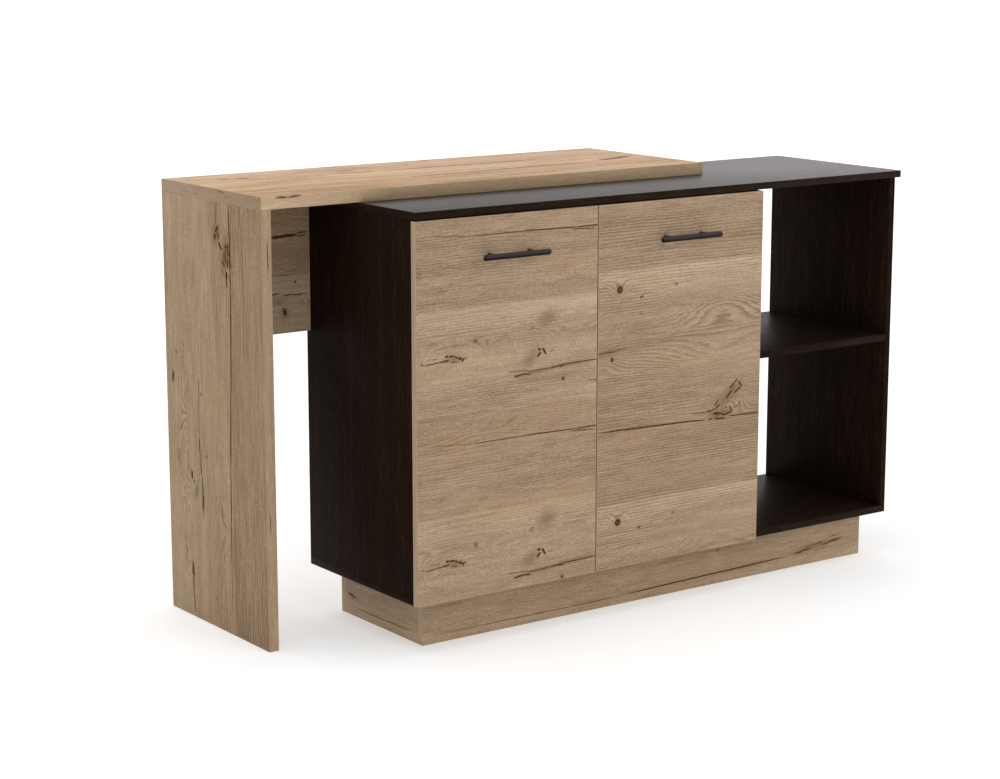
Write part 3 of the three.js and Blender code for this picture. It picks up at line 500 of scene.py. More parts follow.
def ring_level(tree, flat, along, across, wrapped, drift, swirls, chevrons):
    """The distance across the board that the growth rings are contour lines of: swirls push it aside, and
    in a chevron the rings meet in arrow heads."""
    level = across + drift * (RING_DRIFT * MM)
    for *ellipse, push in swirls:
        level = level + tree.blot(flat, *ellipse) * (push * MM)
    for *ellipse, spread in chevrons:
        zone = tree.blot(flat, *ellipse, soft=CHEVRON_SOFTNESS)
        middle = ellipse[1] * MM
        arms = (abs(wrapped + drift * (CHEVRON_DRIFT * MM) - middle) + along) * spread
        level = level + zone * (arms - level)
    return level


def stave_tone(place, seam, step, glow):
    """A stave's step in tone at its seam, and the glow that rises before the seam."""
    edge = place.eased((seam - STAVE_SEAM) * MM, (seam + STAVE_SEAM) * MM)
    rise = place.eased((seam - STAVE_GLOW) * MM, seam * MM)
    return edge * step + (rise - edge) * glow


def marked_face(tree, colours, wood, points, marks, fine, quiver):
    """A board's wood with its soft shade, the burnt rims of its marks and their dark middles."""
    crisp, soft = marks_on(tree, points, marks)
    if soft:
        wood = tree.blend(soft * (0.6 + fine * 0.7) * 0.95, wood, colours.shade_brown)
    if crisp:
        crisp = crisp * (0.95 + quiver * 0.6)
        wood = tree.blend(crisp.eased(0.0, 0.6), wood, colours.crack_rim)
        wood = tree.blend(crisp.eased(0.3, 0.95), wood, colours.crack_brown)
    return wood


def marked_edges(tree, colours, wood, point, marks, at_edge):
    """The wood with the marks that show on the board's narrow edges."""
    points = dict.fromkeys((*RIM_WAVERS, "knot", "shade"), point)
    crisp, soft = marks_on(tree, points, marks)
    if soft:
        wood = tree.blend(soft * at_edge * 0.7, wood, colours.shade_brown)
    return tree.blend(crisp * at_edge, wood, colours.crack_brown)


def oak_finish(colours, node, axes, marks, swirls=(), chevrons=(), staves=(), repeat=None, pitch=4.2,
               lift=0.0, edge_marks=None, end_marks=None, figure=1.0, streak=0.4, sheen=0.25, tint=NO_TINT,
               side_lighting_tint=None, end_lighting_tint=None):
    """Rustic oak board: growth rings that flow round swirls and meet in chevrons, staves, streaks, short
    grain, pores, cracks and knots, and a plain banded edge. axes says which way the grain runs, across
    and through the board."""
    name = f"oak_{node}"
    tree = new_finish(name)
    low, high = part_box(node)
    size = high - low
    parts = tree.object_parts()
    along, across, through = (parts[axis] - low[axis] for axis in axes)
    length, width = size[axes[0]], size[axes[1]]
    band = colours.band_thickness
    at_end = abs(along - length / 2) > length / 2 - band
    at_side = abs(across - width / 2) > width / 2 - band
    banded = at_end.top(at_side)

    # The banded ends carry grain that runs along the edge, the rest grain along the board. The seed keeps
    # two boards from looking alike.
    seed = sum(map(ord, name)) % 97 * 0.37
    straight = tree.vector(along + seed, across + seed, through)
    crossed = tree.vector(across + seed, along, through + seed)
    grain = tree.choose(at_end, straight, crossed)

    # Where a mark lies: a door's print repeats up the door.
    wrapped = across % (repeat * MM) if repeat else across
    flat = tree.vector(along, wrapped, through)
    drift = tree.noise(grain, (1.6, 7, 7), 2) - 0.5
    quiver = tree.noise(grain, (60, 90, 90), 3, 0.7) - 0.5
    points = {
        kind: tree.vector(along, wrapped + drift * (MARK_DRIFT * MM) + quiver * (waver * MM), through)
        for kind, waver in RIM_WAVERS.items()
    }
    points |= {"knot": points["crack"], "shade": flat}

    level = ring_level(tree, flat, along, across, wrapped, drift, swirls, chevrons)
    fine = tree.noise(grain, (14, 150, 150), 3, 0.6)
    ring = (level / (pitch * MM) + fine * 0.85) % 1.0
    ring = ring.eased(0.25, 0.85) * ring.eased(1.0, 0.9)
    fading = tree.noise(grain, (1.6, 14, 14), 2)
    ring = ring * fading.eased(0.36, 0.62, 0.30, 1.0) * figure

    grit = tree.noise(grain, (130, 330, 330), 2, 0.75)
    fibre = tree.noise(grain, (26, 420, 420), 3, 0.7)
    bands = tree.noise(grain, (1.2, 20, 20), 2, 0.6)
    streaks = tree.noise(grain, (6, 60, 60), 3, 0.8)
    cloud = tree.noise(grain, (4, 9, 9), 2)
    pores = tree.noise(grain, (60, 700, 700), 1).eased(0.60, 0.74)
    tone = layered(
        GRAIN_MIDDLE + lift,
        (bands, 0.62), (fine, 0.7), (fibre, 0.75), (grit, 1.1), (cloud, 0.3), (streaks, streak),
    ) - ring * 0.4 - pores * 0.2
    for stave in staves:
        tone = tone + stave_tone(wrapped + drift * (STAVE_DRIFT * MM), *stave)

    wood = tree.ramp(
        tone, (0.0, colours.oak_dark), (0.42, colours.oak_middle), (0.72, colours.oak_light),
        (1.0, colours.oak_pale),
    )
    warmth = tree.noise(grain, (2.2, 12, 12), 1).eased(0.45, 0.75, 0.0, 0.4)
    wood = tree.blend(warmth, wood, tree.blend(0.5, wood, colours.oak_warm))
    banding = tree.ramp(
        layered(GRAIN_MIDDLE + lift, (fibre, 0.9), (fine, 0.6), (bands, 0.8), (grit, 0.8)),
        (0.0, colours.oak_middle), (0.5, colours.band_tone), (1.0, colours.oak_pale),
    )

    wood = marked_face(tree, colours, wood, points, marks, fine, quiver)
    wood = tree.blend(banded, wood, banding)
    for edges, at_edge, run in ((edge_marks, at_side, along), (end_marks, at_end, across)):
        if edges:
            point = tree.vector(run, through + quiver * (EDGE_WAVER * MM), 0.0)
            wood = marked_edges(tree, colours, wood, point, edges, at_edge)
    # Painted light and shade: the side and end tints make the board's narrow edges and ends lighter or darker
    # than its face, as each is lit.
    tints = tree.choose(at_side, tint, side_lighting_tint or tint)
    tints = tree.choose(at_end, tints, end_lighting_tint or tint)
    return tree.surface({
        "Base Color": tree.vector_maths("MULTIPLY", wood, tints),
        "Roughness": layered(0.55, (fibre, 0.25), (cloud, 0.1)) + pores * 0.1,
        "Specular IOR Level": sheen,
    }, layered(0.6, (fibre, 0.5)) - pores * 0.3, relief=0.25)


def dark_wood_finish(colours, name, axes, gloss=0.01, coat_above=None, coat=0.0):
    """Dark brown melamine with a faint, long grain, pores and a satin, slightly orange-peel skin. Level
    boards have a glossier coat on the face above a height."""
    tree = new_finish(name)
    parts = tree.object_parts()
    grain = tree.vector(*(parts[axis] for axis in axes))
    bands = tree.noise(grain, (1.4, 30, 30), 2, 0.6)
    fine = tree.noise(grain, (12, 200, 200), 3, 0.65)
    fibre = tree.noise(grain, (50, 420, 420), 2, 0.7)
    pores = tree.noise(grain, (55, 900, 900), 1).eased(0.58, 0.70)
    scuff = tree.noise(grain, (5, 6, 6), 3, 0.6)
    coats = {} if coat_above is None else {
        "Coat Weight": (parts[2] > coat_above) * coat, "Coat Roughness": 0.42, "Coat IOR": 1.5,
    }
    return tree.surface(coats | {
        "Base Color": tree.ramp(
            layered(0.5, (bands, 0.5), (fine, 1.0), (fibre, 0.9)) - pores * 0.3,
            (0.0, colours.wenge_black), (0.5, colours.wenge_brown), (1.0, colours.wenge_vein),
        ),
        "Roughness": layered(0.42, (scuff, 0.16), (fine, 0.12)) + pores * 0.12,
        "Specular IOR Level": gloss,
        "Specular Tint": colours.wenge_gloss,
    }, layered(0.5, (fibre, 0.5), (fine, 0.2)) - pores * 0.5, relief=0.15)


def hardboard_finish(colours):
    """Thin dark hardboard: pressed fibres, a little mottled."""
    tree = new_finish("hardboard")
    point = tree.vector(*tree.object_parts())
    fibres = tree.noise(point, (260, 260, 420), 4, 0.7)
    mottle = tree.noise(point, (14, 14, 18), 3, 0.6)
    return tree.surface({
        "Base Color": tree.ramp(
            layered(0.5, (fibres, 1.1), (mottle, 0.3)),
            (0.0, colours.wenge_black), (0.5, colours.hardboard_brown), (1.0, colours.hardboard_fleck),
        ),
        "Roughness": layered(0.7, (fibres, 0.3)),
        "Specular IOR Level": 0.25,
    }, fibres, relief=0.3)


def black_metal_finish(colours, middle_height):
    """Powder-coated black metal: satin, with a fine orange peel, and a painted highlight that makes it greyer
    on top.
    """
    tree = new_finish("black_metal")
    parts = tree.object_parts()
    point = tree.vector(*parts)
    peel = tree.noise(point, (900, 900, 900), 2, 0.5)
    blotches = tree.noise(point, (30, 60, 60), 3, 0.6)
    # A painted highlight: the handle is greyer above its middle, as if lit from above.
    above = (parts[2] - middle_height).eased(HIGHLIGHT_FROM * MM, HIGHLIGHT_TO * MM)
    return tree.surface({
        "Base Color": tree.ramp(
            layered(above, (blotches, 0.5), (peel, 0.2)), (0.0, colours.paint_black), (1.0, colours.paint_highlight),
        ),
        "Roughness": layered(0.44, (blotches, 0.2), (peel, 0.1)),
        "Specular IOR Level": 0.08,
    }, peel, relief=0.06)


def steel_finish(colours, name, shine, rough, waves):
    """Plated or drawn steel with fine drawing lines and faint clouding."""
    tree = new_finish(name)
    point = tree.vector(*tree.object_parts())
    lines = tree.noise(point, waves, 2, 0.6)
    cloud = tree.noise(point, (90, 90, 90), 3, 0.6)
    return tree.surface({
        "Base Color": tree.ramp(
            layered(0.5, (lines, 0.8), (cloud, 0.9)),
            (0.0, colours.steel_shade), (0.6, shine), (1.0, colours.steel_bright),
        ),
        "Roughness": layered(rough, (cloud, 0.2), (lines, 0.12)),
        "Metallic": 0.82,
    }, lines, relief=0.004)


def bumper_finish(colours):
    """Clear soft plastic that has gone a little cloudy."""
    tree = new_finish("clear_bumper")
    point = tree.vector(*tree.object_parts())
    cloud = tree.noise(point, (500, 500, 500), 3, 0.6)
    return tree.surface({
        "Base Color": tree.ramp(cloud, (0.2, colours.bumper_clear), (0.9, colours.bumper_cloudy)),
        "Roughness": layered(0.25, (cloud, 0.2)),
        "Transmission Weight": 0.6,
        "IOR": 1.49,
    }, cloud, relief=0.08)


def floor_finish(colours):
    """Plain pale studio floor, lit a little from below, more so away from the unit."""
    tree = new_finish("studio_floor")
    point = tree.vector(*tree.object_parts())
    cloud = tree.noise(point, (0.6, 0.6, 0.6), 2)
    away = tree.vector_maths("LENGTH", point, out="Value").eased(GLOW_START, GLOW_END)
    return tree.surface({
        "Base Color": tree.ramp(cloud, (0.0, colours.floor_pale), (1.0, colours.floor_white)),
        "Roughness": 0.85,
        "Specular IOR Level": 0.0,
        "Emission Color": tree.ramp(away, (0.0, colours.glow_near), (1.0, colours.glow_far)),
        "Emission Strength": 1.0,
    })


# ---- mesh tools ----

def only(piece):
    """Selects this piece and nothing else."""
    bpy.ops.object.select_all(action="DESELECT")
    piece.select_set(True)
    bpy.context.view_layer.objects.active = piece


def copy_of(node, form):
    """The CAD node's shape as a new piece, its triangles joined into flat faces."""
    piece = bpy.data.objects.new(f"{node}_{form}", frame["nodes"][node].data.copy())
    bpy.context.scene.collection.objects.link(piece)
    piece.data.materials.clear()
    only(piece)
    bpy.ops.object.mode_set(mode="EDIT")
    bpy.ops.mesh.select_all(action="SELECT")
    bpy.ops.mesh.remove_doubles(threshold=MERGE_DISTANCE)
    bpy.ops.mesh.dissolve_limited(angle_limit=math.radians(FLAT_ANGLE))
    bpy.ops.object.mode_set(mode="OBJECT")
    if "custom_normal" in piece.data.attributes:
        piece.data.attributes.remove(piece.data.attributes["custom_normal"])
    return piece


def new_piece(name, add_primitive, **settings):
    """A primitive as a new piece, its place in its mesh."""
    bpy.ops.object.select_all(action="DESELECT")
    add_primitive(**settings)
    piece = bpy.context.object
    piece.name = name
    bpy.ops.object.transform_apply(location=True, rotation=True, scale=True)
    return piece


def new_cylinder(name, middle, axis, radius, length, facets):
    """A cylinder that lies along X or Y."""
    turn = (0.0, math.pi / 2, 0.0) if axis == 0 else (math.pi / 2, 0.0, 0.0)
    return new_piece(
        name, bpy.ops.mesh.primitive_cylinder_add, vertices=facets, radius=radius, depth=length,
        location=middle, rotation=turn,
    )


def bevel_edges(piece, wanted, width, segments, **settings):
    """Bevels the edges for which wanted(first corner, second corner) holds."""
    only(piece)
    bpy.ops.object.mode_set(mode="EDIT")
    bpy.ops.mesh.select_mode(type="EDGE")
    bpy.ops.mesh.select_all(action="DESELECT")
    bpy.ops.object.mode_set(mode="OBJECT")
    corners = piece.data.vertices
    for edge in piece.data.edges:
        first, second = (corners[i].co for i in edge.vertices)
        edge.select = wanted(first, second)
    bpy.ops.object.mode_set(mode="EDIT")
    bpy.ops.mesh.bevel(offset=width, segments=segments, affect="EDGES", **settings)
    bpy.ops.object.mode_set(mode="OBJECT")


def round_rims(piece, axis, ends, width, segments):
    """Rounds a cylinder's rims that lie at these places along its axis."""
    def on_rim(first, second):
        return any(max(abs(first[axis] - end), abs(second[axis] - end)) < TOUCH for end in ends)
    bevel_edges(piece, on_rim, width, segments)


def round_outer_edges(piece, low, high, width, segments):
    """Rounds the edges that lie on the outside of a board's box."""
    def sides_at(corner):
        return {
            (axis, bound is high)
            for axis in range(3) for bound in (low, high)
            if abs(corner[axis] - bound[axis]) < TOUCH
        }

    def outermost(first, second):
        return len(sides_at(first) & sides_at(second)) >= 2
    bevel_edges(piece, outermost, width, segments, loop_slide=False, clamp_overlap=True)


def cut_cross(piece, centre, axis, reach, depth):
    """Cuts a cross recess into a screw's head: centre is the middle of the head's face, reach and depth are
    in mm, and axis is the way the screw lies."""
    for arm in (axis + 1) % 3, (axis + 2) % 3:
        size = [RECESS_WIDTH * MM] * 3
        size[arm], size[axis] = reach * 2 * MM, depth * 2 * MM
        cutter = new_piece("cutter", bpy.ops.mesh.primitive_cube_add, size=1.0, location=centre, scale=size)
        only(piece)
        carving = piece.modifiers.new("recess", "BOOLEAN")
        carving.object, carving.operation, carving.solver = cutter, "DIFFERENCE", "EXACT"
        bpy.ops.object.modifier_apply(modifier=carving.name)
        bpy.data.objects.remove(cutter)


def screw_head(name, foot, axis, way, radius):
    """A low round head with a rounded rim and a cross recess. It stands on its foot and faces one way along
    an axis; its radius is in mm."""
    face = Vector(foot)
    face[axis] += way * HEAD_HEIGHT * MM
    middle = (Vector(foot) + face) / 2
    piece = new_cylinder(name, middle, axis, radius * MM, HEAD_HEIGHT * MM, HEAD_FACETS)
    round_rims(piece, axis, (face[axis],), HEAD_ROUNDING * MM, RIM_STEPS)
    cut_cross(piece, face, axis, radius * HEAD_RECESS_REACH, HEAD_RECESS_DEPTH)
    return piece


def dress(piece, material, node, body=None):
    """The piece is shaded smooth and gets its finish, stands for the node and rides on its body. A piece
    that stands for no node has None there, and names its body."""
    only(piece)
    bpy.ops.object.shade_smooth_by_angle(angle=math.radians(SMOOTH_ANGLE))
    piece.data.materials.clear()
    piece.data.materials.append(material)
    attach(piece, body or BODY_OF[node])
    if node:
        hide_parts(node)


# ---- settings ----

def length_setting(name, description, millimetres):
    return FloatProperty(
        name=name, description=description, default=millimetres * MM, min=0.0, unit="LENGTH",
        subtype="DISTANCE",
    )


def angle_setting(name, description, degrees):
    return FloatProperty(name=name, description=description, default=math.radians(degrees), subtype="ANGLE")


def amount_setting(name, description, amount):
    return FloatProperty(name=name, description=description, default=amount, min=0.0)


def count_setting(name, description, count, least):
    return IntProperty(name=name, description=description, default=count, min=least)


def colour_setting(name, description, colour):
    return FloatVectorProperty(
        name=name, description=description, default=colour, size=4, min=0.0, max=1.0, subtype="COLOR",
    )


class IslandSizes(PropertyGroup):
    edge_round: length_setting("Board edge rounding", "Width of the rounded board edges", 0.7)
    edge_steps: count_setting("Edge steps", "Faces across a rounded edge", 2, 1)
    handle_round: length_setting("Handle end rounding", "Rounding of the handle bar's ends", 1.4)
    handle_facets: count_setting("Handle facets", "Sides of a round handle part", 64, 12)
    post_collar: length_setting("Post collar", "Narrowing of a post where it meets the door", 1.0)


class IslandColours(PropertyGroup):
    oak_dark: colour_setting("Oak dark", "Late wood and dark streaks", srgb(138, 112, 86))
    oak_middle: colour_setting("Oak middle", "Main tone of the oak", srgb(172, 146, 117))
    oak_light: colour_setting("Oak light", "Light bands of the oak", srgb(191, 167, 138))
    oak_pale: colour_setting("Oak pale", "Palest streaks", srgb(206, 184, 154))
    oak_warm: colour_setting("Oak warm", "Warm clouds in the oak", srgb(190, 154, 116))
    band_tone: colour_setting("Edge band", "Banded board edges", srgb(180, 156, 130))
    band_thickness: length_setting("Edge band thickness", "Thickness of the edge banding", 0.8)
    shade_brown: colour_setting("Soft shade", "Soft dark patches round knots", srgb(106, 80, 50))
    crack_rim: colour_setting("Crack rim", "Burnt rims of cracks and knots", srgb(118, 84, 44))
    crack_brown: colour_setting("Crack", "Cracks and knots", srgb(58, 32, 3))
    wenge_black: colour_setting("Dark wood black", "Pores of the dark boards", srgb(19, 11, 7))
    wenge_brown: colour_setting("Dark wood brown", "Main tone of the dark boards", srgb(34, 24, 18))
    wenge_vein: colour_setting("Dark wood vein", "Lighter veins of the dark boards", srgb(59, 42, 31))
    wenge_gloss: colour_setting("Dark wood gloss", "Tint of the dark boards' sheen", (1.0, 0.7, 0.5, 1.0))
    hardboard_brown: colour_setting("Hardboard", "Main tone of the back panel", srgb(44, 35, 29))
    hardboard_fleck: colour_setting("Hardboard fleck", "Fibres of the back panel", srgb(82, 66, 54))
    paint_black: colour_setting("Handle black", "Black powder coat", srgb(5, 4, 4))
    paint_highlight: colour_setting("Handle highlight", "Painted highlight on the powder coat's upper side", srgb(62, 58, 55))
    steel_nickel: colour_setting("Nickel", "Plated hinges", srgb(196, 194, 190))
    steel_zinc: colour_setting("Zinc", "Plated screws and bolts", srgb(184, 187, 190))
    steel_shade: colour_setting("Steel shade", "Darker drawing lines", srgb(134, 132, 130))
    steel_bright: colour_setting("Steel bright", "Brightest plating", srgb(222, 221, 218))
    bumper_clear: colour_setting("Bumper", "Clear plastic", srgb(226, 228, 226))
    bumper_cloudy: colour_setting("Bumper cloudy", "Clouded plastic", srgb(204, 206, 203))
    floor_white: colour_setting("Floor white", "Studio floor", srgb(236, 236, 236))
    floor_pale: colour_setting("Floor pale", "Studio floor, clouds", srgb(233, 233, 233))
    glow_near: colour_setting("Floor glow near", "Light the floor gives under the unit", srgb(172, 172, 172))
    glow_far: colour_setting("Floor glow far", "Light the floor gives far off", srgb(226, 226, 226))


class IslandStudio(PropertyGroup):
    lens: amount_setting("Lens", "Focal length in mm on a 36 mm sensor", 84.954)
    camera_place: FloatVectorProperty(
        name="Camera", description="Where the camera stands", subtype="XYZ",
        default=(-2.9875, -3.96442, 1.4254),
    )
    camera_yaw: angle_setting("Camera yaw", "Turn to the right of the unit's depth", 35.77)
    camera_pitch: angle_setting("Camera pitch", "Tilt below the horizon", 11.38)
    overhead_power: amount_setting("Overhead light", "Softbox above, in watts", 47.0)
    front_power: amount_setting("Front light", "Softbox in front, in watts", 46.0)
    backdrop_light: amount_setting("Backdrop", "Light from behind the unit", 1.24)
    room_light: amount_setting("Room", "Light from the camera's side", 0.34)
    room_colour: colour_setting("Room colour", "Slightly warm light of the room", (0.83, 0.815, 0.81, 1.0))


# ---- pieces ----

UPRIGHT_BOARDS = ("left_side_panel", "right_side_panel", "partition_panel")
# Each level board's own gloss, and the coat on its upper face.
LEVEL_BOARDS = {
    "base_panel": (0.03, 0.14), "cabinet_top": (0.05, 0.73), "cupboard_shelf": (0.03, 0.14),
    "open_bay_shelf": (0.03, 0.14),
}
# How each oak board is printed. A chevron is (along, across, length, width, spread), and a stave is (where
# it starts, its step in tone, its glow). Places, the pitch of the growth rings and the repeat, after which
# a door's print starts again, are in mm. The tint sets each board's colour; the side and end tints are
# painted light and shade, making a board's narrow edges and ends lighter or darker as each face is lit.
OAK_BOARDS = {
    "left_door": dict(
        axes=ALONG_X_UPRIGHT, marks=LEFT_DOOR_MARKS, swirls=LEFT_DOOR_SWIRLS,
        chevrons=((205, 72, 140, 50, 0.5), (380, 74, 120, 74, 0.5), (12, 56, 90, 50, 0.5)),
        staves=((172, -0.10, 0.16), (246, -0.06, 0.0), (372, 0.10, 0.0)),
        repeat=409, pitch=5.6, lift=-0.02, figure=0.8, tint=(0.93, 0.94, 0.95),
    ),
    "right_door": dict(
        axes=ALONG_X_UPRIGHT, marks=RIGHT_DOOR_MARKS, swirls=RIGHT_DOOR_SWIRLS,
        chevrons=((36, 22, 140, 60, 0.6), (36, 507, 140, 60, 0.6)),
        staves=((60, 0.06, 0.0), (137, -0.18, 0.15), (285, -0.05, 0.0), (352, 0.08, 0.0), (392, 0.06, 0.0)),
        repeat=485, pitch=6.2, lift=-0.02, figure=1.2, tint=(0.925, 0.935, 0.95),
    ),
    "bar_top": dict(
        axes=ALONG_X, marks=BAR_TOP_MARKS, swirls=BAR_TOP_SWIRLS,
        staves=((138, 0.10, 0.0), (262, -0.04, 0.10)), edge_marks=BAR_EDGE_MARKS, end_marks=BAR_END_MARKS,
        lift=0.06, streak=1.6, tint=(1.12, 0.99, 0.85), side_lighting_tint=(1.07, 1.025, 0.935),
        end_lighting_tint=(0.71, 0.665, 0.61),
    ),
    "leg_panel": dict(
        axes=ALONG_Z_DEEP, marks=LEG_MARKS, swirls=LEG_SWIRLS, staves=((130, 0.10, 0.0), (250, 0.08, 0.0)),
        edge_marks=LEG_EDGE_MARKS, streak=0.8, pitch=6.0, figure=1.3, sheen=0.08,
        tint=(0.787, 0.768, 0.738), side_lighting_tint=(0.85, 0.81, 0.77),
    ),
    "stretcher_panel": dict(
        axes=ALONG_X_UPRIGHT, marks=STRETCHER_MARKS, swirls=STRETCHER_SWIRLS,
        staves=((117, -0.28, 0.0), (198, -0.12, 0.0)), lift=0.23,
    ),
    "plinth_front": dict(
        axes=ALONG_X_UPRIGHT, marks=PLINTH_MARKS, staves=((19, -0.12, 0.0),), lift=-0.05, figure=0.5,
    ),
    "plinth_back": dict(
        axes=ALONG_X_UPRIGHT, marks=dict(seam=PLINTH_MARKS["seam"], crack=PLINTH_MARKS["crack"][:1]),
        staves=((30, -0.12, 0.0),),
    ),
    "plinth_left": dict(
        axes=ALONG_Y_UPRIGHT, marks=PLINTH_END_MARKS, staves=((19, -0.12, 0.0),), lift=0.08,
    ),
    "plinth_right": dict(
        axes=ALONG_Y_UPRIGHT, marks=dict(PLINTH_END_MARKS, crack=PLINTH_END_MARKS["crack"][:1]),
        staves=((25, 0.1, 0.0),),
    ),
    "plinth_brace": dict(axes=ALONG_Y_UPRIGHT, marks={}),
}
# The axis that each pair of plain screws lies along, and which way their heads face.
SCREW_PAIRS = {
    "bar_screw": (2, -1), "stretcher_screw": (0, 1), "left_handle_screw": (1, 1),
    "right_handle_screw": (1, 1),
}
SCREWS = {f"{pair}_{number}": lie for pair, lie in SCREW_PAIRS.items() for number in (1, 2)}
FITTINGS = (
    "leg_cam_front", "leg_cam_back", "stretcher_cam", "leg_bolt_front", "leg_bolt_back", "stretcher_bolt",
    "shelf_pin_left_front", "shelf_pin_left_back", "shelf_pin_right_front", "shelf_pin_right_back",
)


def make_board(context, node, material):
    """The node's board with its outer edges rounded."""
    sizes = context.scene.island_sizes
    low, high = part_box(node)
    piece = copy_of(node, "board")
    round_outer_edges(piece, low, high, sizes.edge_round, sizes.edge_steps)
    dress(piece, material, node)


class ISLAND_OT_dark_boards(Operator):
    """Makes the dark carcass boards with slightly rounded edges"""
    bl_idname = "island.dark_boards"
    bl_label = "Dark boards"

    def execute(self, context):
        colours = context.scene.island_colours
        upright = dark_wood_finish(colours, "dark_wood_upright", ALONG_Z_DEEP)
        for node in UPRIGHT_BOARDS:
            make_board(context, node, upright)
        for node, (gloss, coat) in LEVEL_BOARDS.items():
            top_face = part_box(node)[1].z - colours.band_thickness
            level = dark_wood_finish(colours, f"dark_wood_{node}", ALONG_X, gloss, top_face, coat)
            make_board(context, node, level)
        make_board(context, "back_panel", hardboard_finish(colours))
        return {"FINISHED"}


class ISLAND_OT_oak_boards(Operator):
    """Makes the oak doors, bar top, leg, stretcher and plinth"""
    bl_idname = "island.oak_boards"
    bl_label = "Oak boards"

    def execute(self, context):
        colours = context.scene.island_colours
        for node, pattern in OAK_BOARDS.items():
            make_board(context, node, oak_finish(colours, node, **pattern))
        return {"FINISHED"}


class ISLAND_OT_handles(Operator):
    """Makes the two black bar handles, each a bar on two posts"""
    bl_idname = "island.handles"
    bl_label = "Handles"

    def execute(self, context):
        sizes = context.scene.island_sizes
        low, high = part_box("left_handle_bar")
        material = black_metal_finish(context.scene.island_colours, (low.z + high.z) / 2)
        for side in SIDES:
            self.make_bar(f"{side}_handle_bar", sizes, material)
            for number in (1, 2):
                self.make_post(f"{side}_handle_post_{number}", sizes, material)
        return {"FINISHED"}

    def make_bar(self, node, sizes, material):
        low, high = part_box(node)
        middle, size = (low + high) / 2, high - low
        piece = new_cylinder(f"{node}_round", middle, 0, size.z / 2, size.x, sizes.handle_facets)
        round_rims(piece, 0, (low.x, high.x), sizes.handle_round, BAR_END_STEPS)
        dress(piece, material, node)

    def make_post(self, node, sizes, material):
        low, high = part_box(node)
        middle, size = (low + high) / 2, high - low
        piece = new_cylinder(f"{node}_round", middle, 1, size.x / 2, size.y, sizes.handle_facets)
        round_rims(piece, 1, (high.y,), sizes.post_collar / 2, RIM_STEPS)
        dress(piece, material, node)


class ISLAND_OT_hinges(Operator):
    """Makes the four concealed hinges: cups, plates, arms and links"""
    bl_idname = "island.hinges"
    bl_label = "Hinges"

    def execute(self, context):
        colours = context.scene.island_colours
        material = steel_finish(
            colours, "hinge_steel", colours.steel_nickel, rough=0.36, waves=(60, 60, 700),
        )
        for side, way in SIDES.items():
            for level in LEVELS:
                label = f"{side}_{level}_hinge"
                for part in HINGE_PARTS:
                    node = f"{label}_{part}"
                    piece = copy_of(node, "plated")
                    if part == "plate":
                        self.cut_plate_screws(piece, node, way)
                    dress(piece, material, node)
                for piece, part in self.small_heads(label, way):
                    dress(piece, material, None, BODY_OF[f"{label}_{part}"])
        return {"FINISHED"}

    def cut_plate_screws(self, piece, node, way):
        low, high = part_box(node)
        face = (low if way > 0 else high).x + way * PLATE_SCREW_FACE * MM
        for rise in (-PLATE_SCREW_RISE, PLATE_SCREW_RISE):
            centre = (face, low.y + PLATE_SCREW_SETBACK * MM, (low.z + high.z) / 2 + rise * MM)
            cut_cross(piece, centre, 0, *PLATE_RECESS)

    def small_heads(self, label, way):
        """The dowel heads on the cup's flange and the adjusting screws on the arm."""
        low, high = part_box(f"{label}_cup")
        middle = (low + high) / 2
        for number, rise in enumerate((-DOWEL_HEAD_RISE, DOWEL_HEAD_RISE), 1):
            foot = (middle.x, high.y, middle.z + rise * MM)
            yield screw_head(f"{label}_dowel_head_{number}", foot, 1, 1, DOWEL_HEAD_RADIUS), "cup"
        low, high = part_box(f"{label}_arm")
        top = (low if way > 0 else high).x + way * ARM_TOP * MM
        for number, setback in enumerate(ARM_SCREW_SETBACKS, 1):
            foot = (top, high.y - setback * MM, middle.z)
            yield screw_head(f"{label}_arm_screw_{number}", foot, 0, way, ARM_SCREW_RADIUS), "arm"


class ISLAND_OT_fasteners(Operator):
    """Makes the screws, cam fittings, bolts and shelf pins, and the door bumpers"""
    bl_idname = "island.fasteners"
    bl_label = "Fasteners"

    def execute(self, context):
        colours = context.scene.island_colours
        material = steel_finish(
            colours, "fastener_steel", colours.steel_zinc, rough=0.34, waves=(300, 300, 300),
        )
        for node in (*SCREWS, *FITTINGS):
            piece = copy_of(node, "plated")
            if node in SCREWS:
                axis, way = SCREWS[node]
                low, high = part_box(node)
                face = (low + high) / 2
                face[axis] = (high if way > 0 else low)[axis]
                cut_cross(piece, face, axis, *SCREW_RECESS)
            dress(piece, material, node)
        clear = bumper_finish(colours)
        for side in SIDES:
            node = f"{side}_door_bumper"
            dress(copy_of(node, "dome"), clear, node)
        return {"FINISHED"}


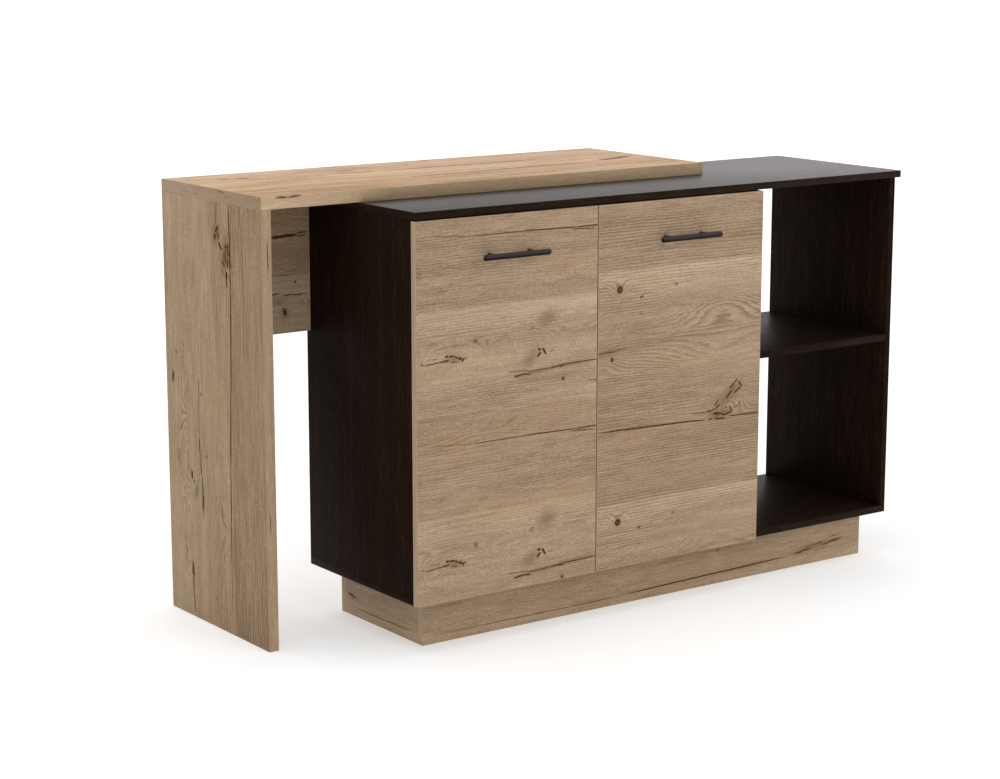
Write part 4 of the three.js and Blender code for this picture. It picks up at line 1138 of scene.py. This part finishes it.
class ISLAND_OT_studio(Operator):
    """Lays the pale floor and sets the soft lights and the camera"""
    bl_idname = "island.studio"
    bl_label = "Studio"

    def execute(self, context):
        studio = context.scene.island_studio
        place = (0.0, 0.0, -FLOOR_DROP)
        floor = new_piece("studio_floor", bpy.ops.mesh.primitive_plane_add, size=FLOOR_SIZE, location=place)
        floor.data.materials.append(floor_finish(context.scene.island_colours))
        floor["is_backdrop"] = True

        powers = {"overhead": studio.overhead_power, "front": studio.front_power}
        for label, (place, target, size) in SOFTBOXES.items():
            self.softbox(f"{label}_softbox", place, target, size, powers[label])
        self.light_world(context, studio)

        camera_data = bpy.data.cameras.new("camera")
        camera = bpy.data.objects.new("camera", camera_data)
        context.scene.collection.objects.link(camera)
        camera_data.lens = studio.lens
        camera_data.sensor_width = SENSOR_WIDTH
        camera.location = studio.camera_place
        camera.rotation_euler = (math.pi / 2 - studio.camera_pitch, 0.0, -studio.camera_yaw)
        context.scene.camera = camera
        context.scene.view_settings.view_transform = "Standard"
        return {"FINISHED"}

    def softbox(self, name, place, target, size, power):
        lamp = bpy.data.lights.new(name, "AREA")
        lamp.shape = "SQUARE"
        lamp.size = size
        lamp.energy = power
        box = bpy.data.objects.new(name, lamp)
        bpy.context.scene.collection.objects.link(box)
        box.location = place
        box.rotation_euler = (Vector(target) - Vector(place)).to_track_quat("-Z", "Y").to_euler()

    def light_world(self, context, studio):
        """Bright behind the unit, dimmer on the camera's side."""
        context.scene.world = bpy.data.worlds.new("studio_room")
        tree = ShaderTree(context.scene.world)
        direction = tree.add("ShaderNodeTexCoord", out="Generated")
        ahead = (math.sin(studio.camera_yaw), math.cos(studio.camera_yaw), 0.0)
        facing = tree.vector_maths("DOT_PRODUCT", direction, ahead, out="Value")
        light = facing.eased(DIM_SIDE, BRIGHT_SIDE, studio.room_light, studio.backdrop_light)
        room = tree.add("ShaderNodeBackground", None, {"Color": studio.room_colour, "Strength": light})
        tree.add("ShaderNodeOutputWorld", None, {"Surface": room})


class ISLAND_PT_sidebar(Panel):
    """Lists the island's pieces and settings"""
    bl_idname = "ISLAND_PT_sidebar"
    bl_label = "Kitchen island"
    bl_space_type = "VIEW_3D"
    bl_region_type = "UI"
    bl_category = "Island"

    def draw(self, context):
        column = self.layout.column()
        for operator in STEPS:
            column.operator(operator.bl_idname)
        for name, group in GROUPS.items():
            box = self.layout.box()
            for key in group.__annotations__:
                box.prop(getattr(context.scene, name), key)


STEPS = (
    ISLAND_OT_dark_boards, ISLAND_OT_oak_boards, ISLAND_OT_handles, ISLAND_OT_hinges,
    ISLAND_OT_fasteners, ISLAND_OT_studio,
)
GROUPS = {"island_sizes": IslandSizes, "island_colours": IslandColours, "island_studio": IslandStudio}
CLASSES = (*GROUPS.values(), *STEPS, ISLAND_PT_sidebar)


def register():
    for item in CLASSES:
        bpy.utils.register_class(item)
    for name, group in GROUPS.items():
        setattr(bpy.types.Scene, name, PointerProperty(type=group))


def unregister():
    for name in GROUPS:
        delattr(bpy.types.Scene, name)
    for item in reversed(CLASSES):
        bpy.utils.unregister_class(item)


def main():
    register()
    bpy.ops.island.dark_boards()
    bpy.ops.island.oak_boards()
    bpy.ops.island.handles()
    bpy.ops.island.hinges()
    bpy.ops.island.fasteners()
    bpy.ops.island.studio()
    boxes = {"cad": CAD_BOX, "visual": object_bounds()}
    {key: [list(corner) for corner in box] for key, box in boxes.items()}


if __name__ == "__main__":
    main()
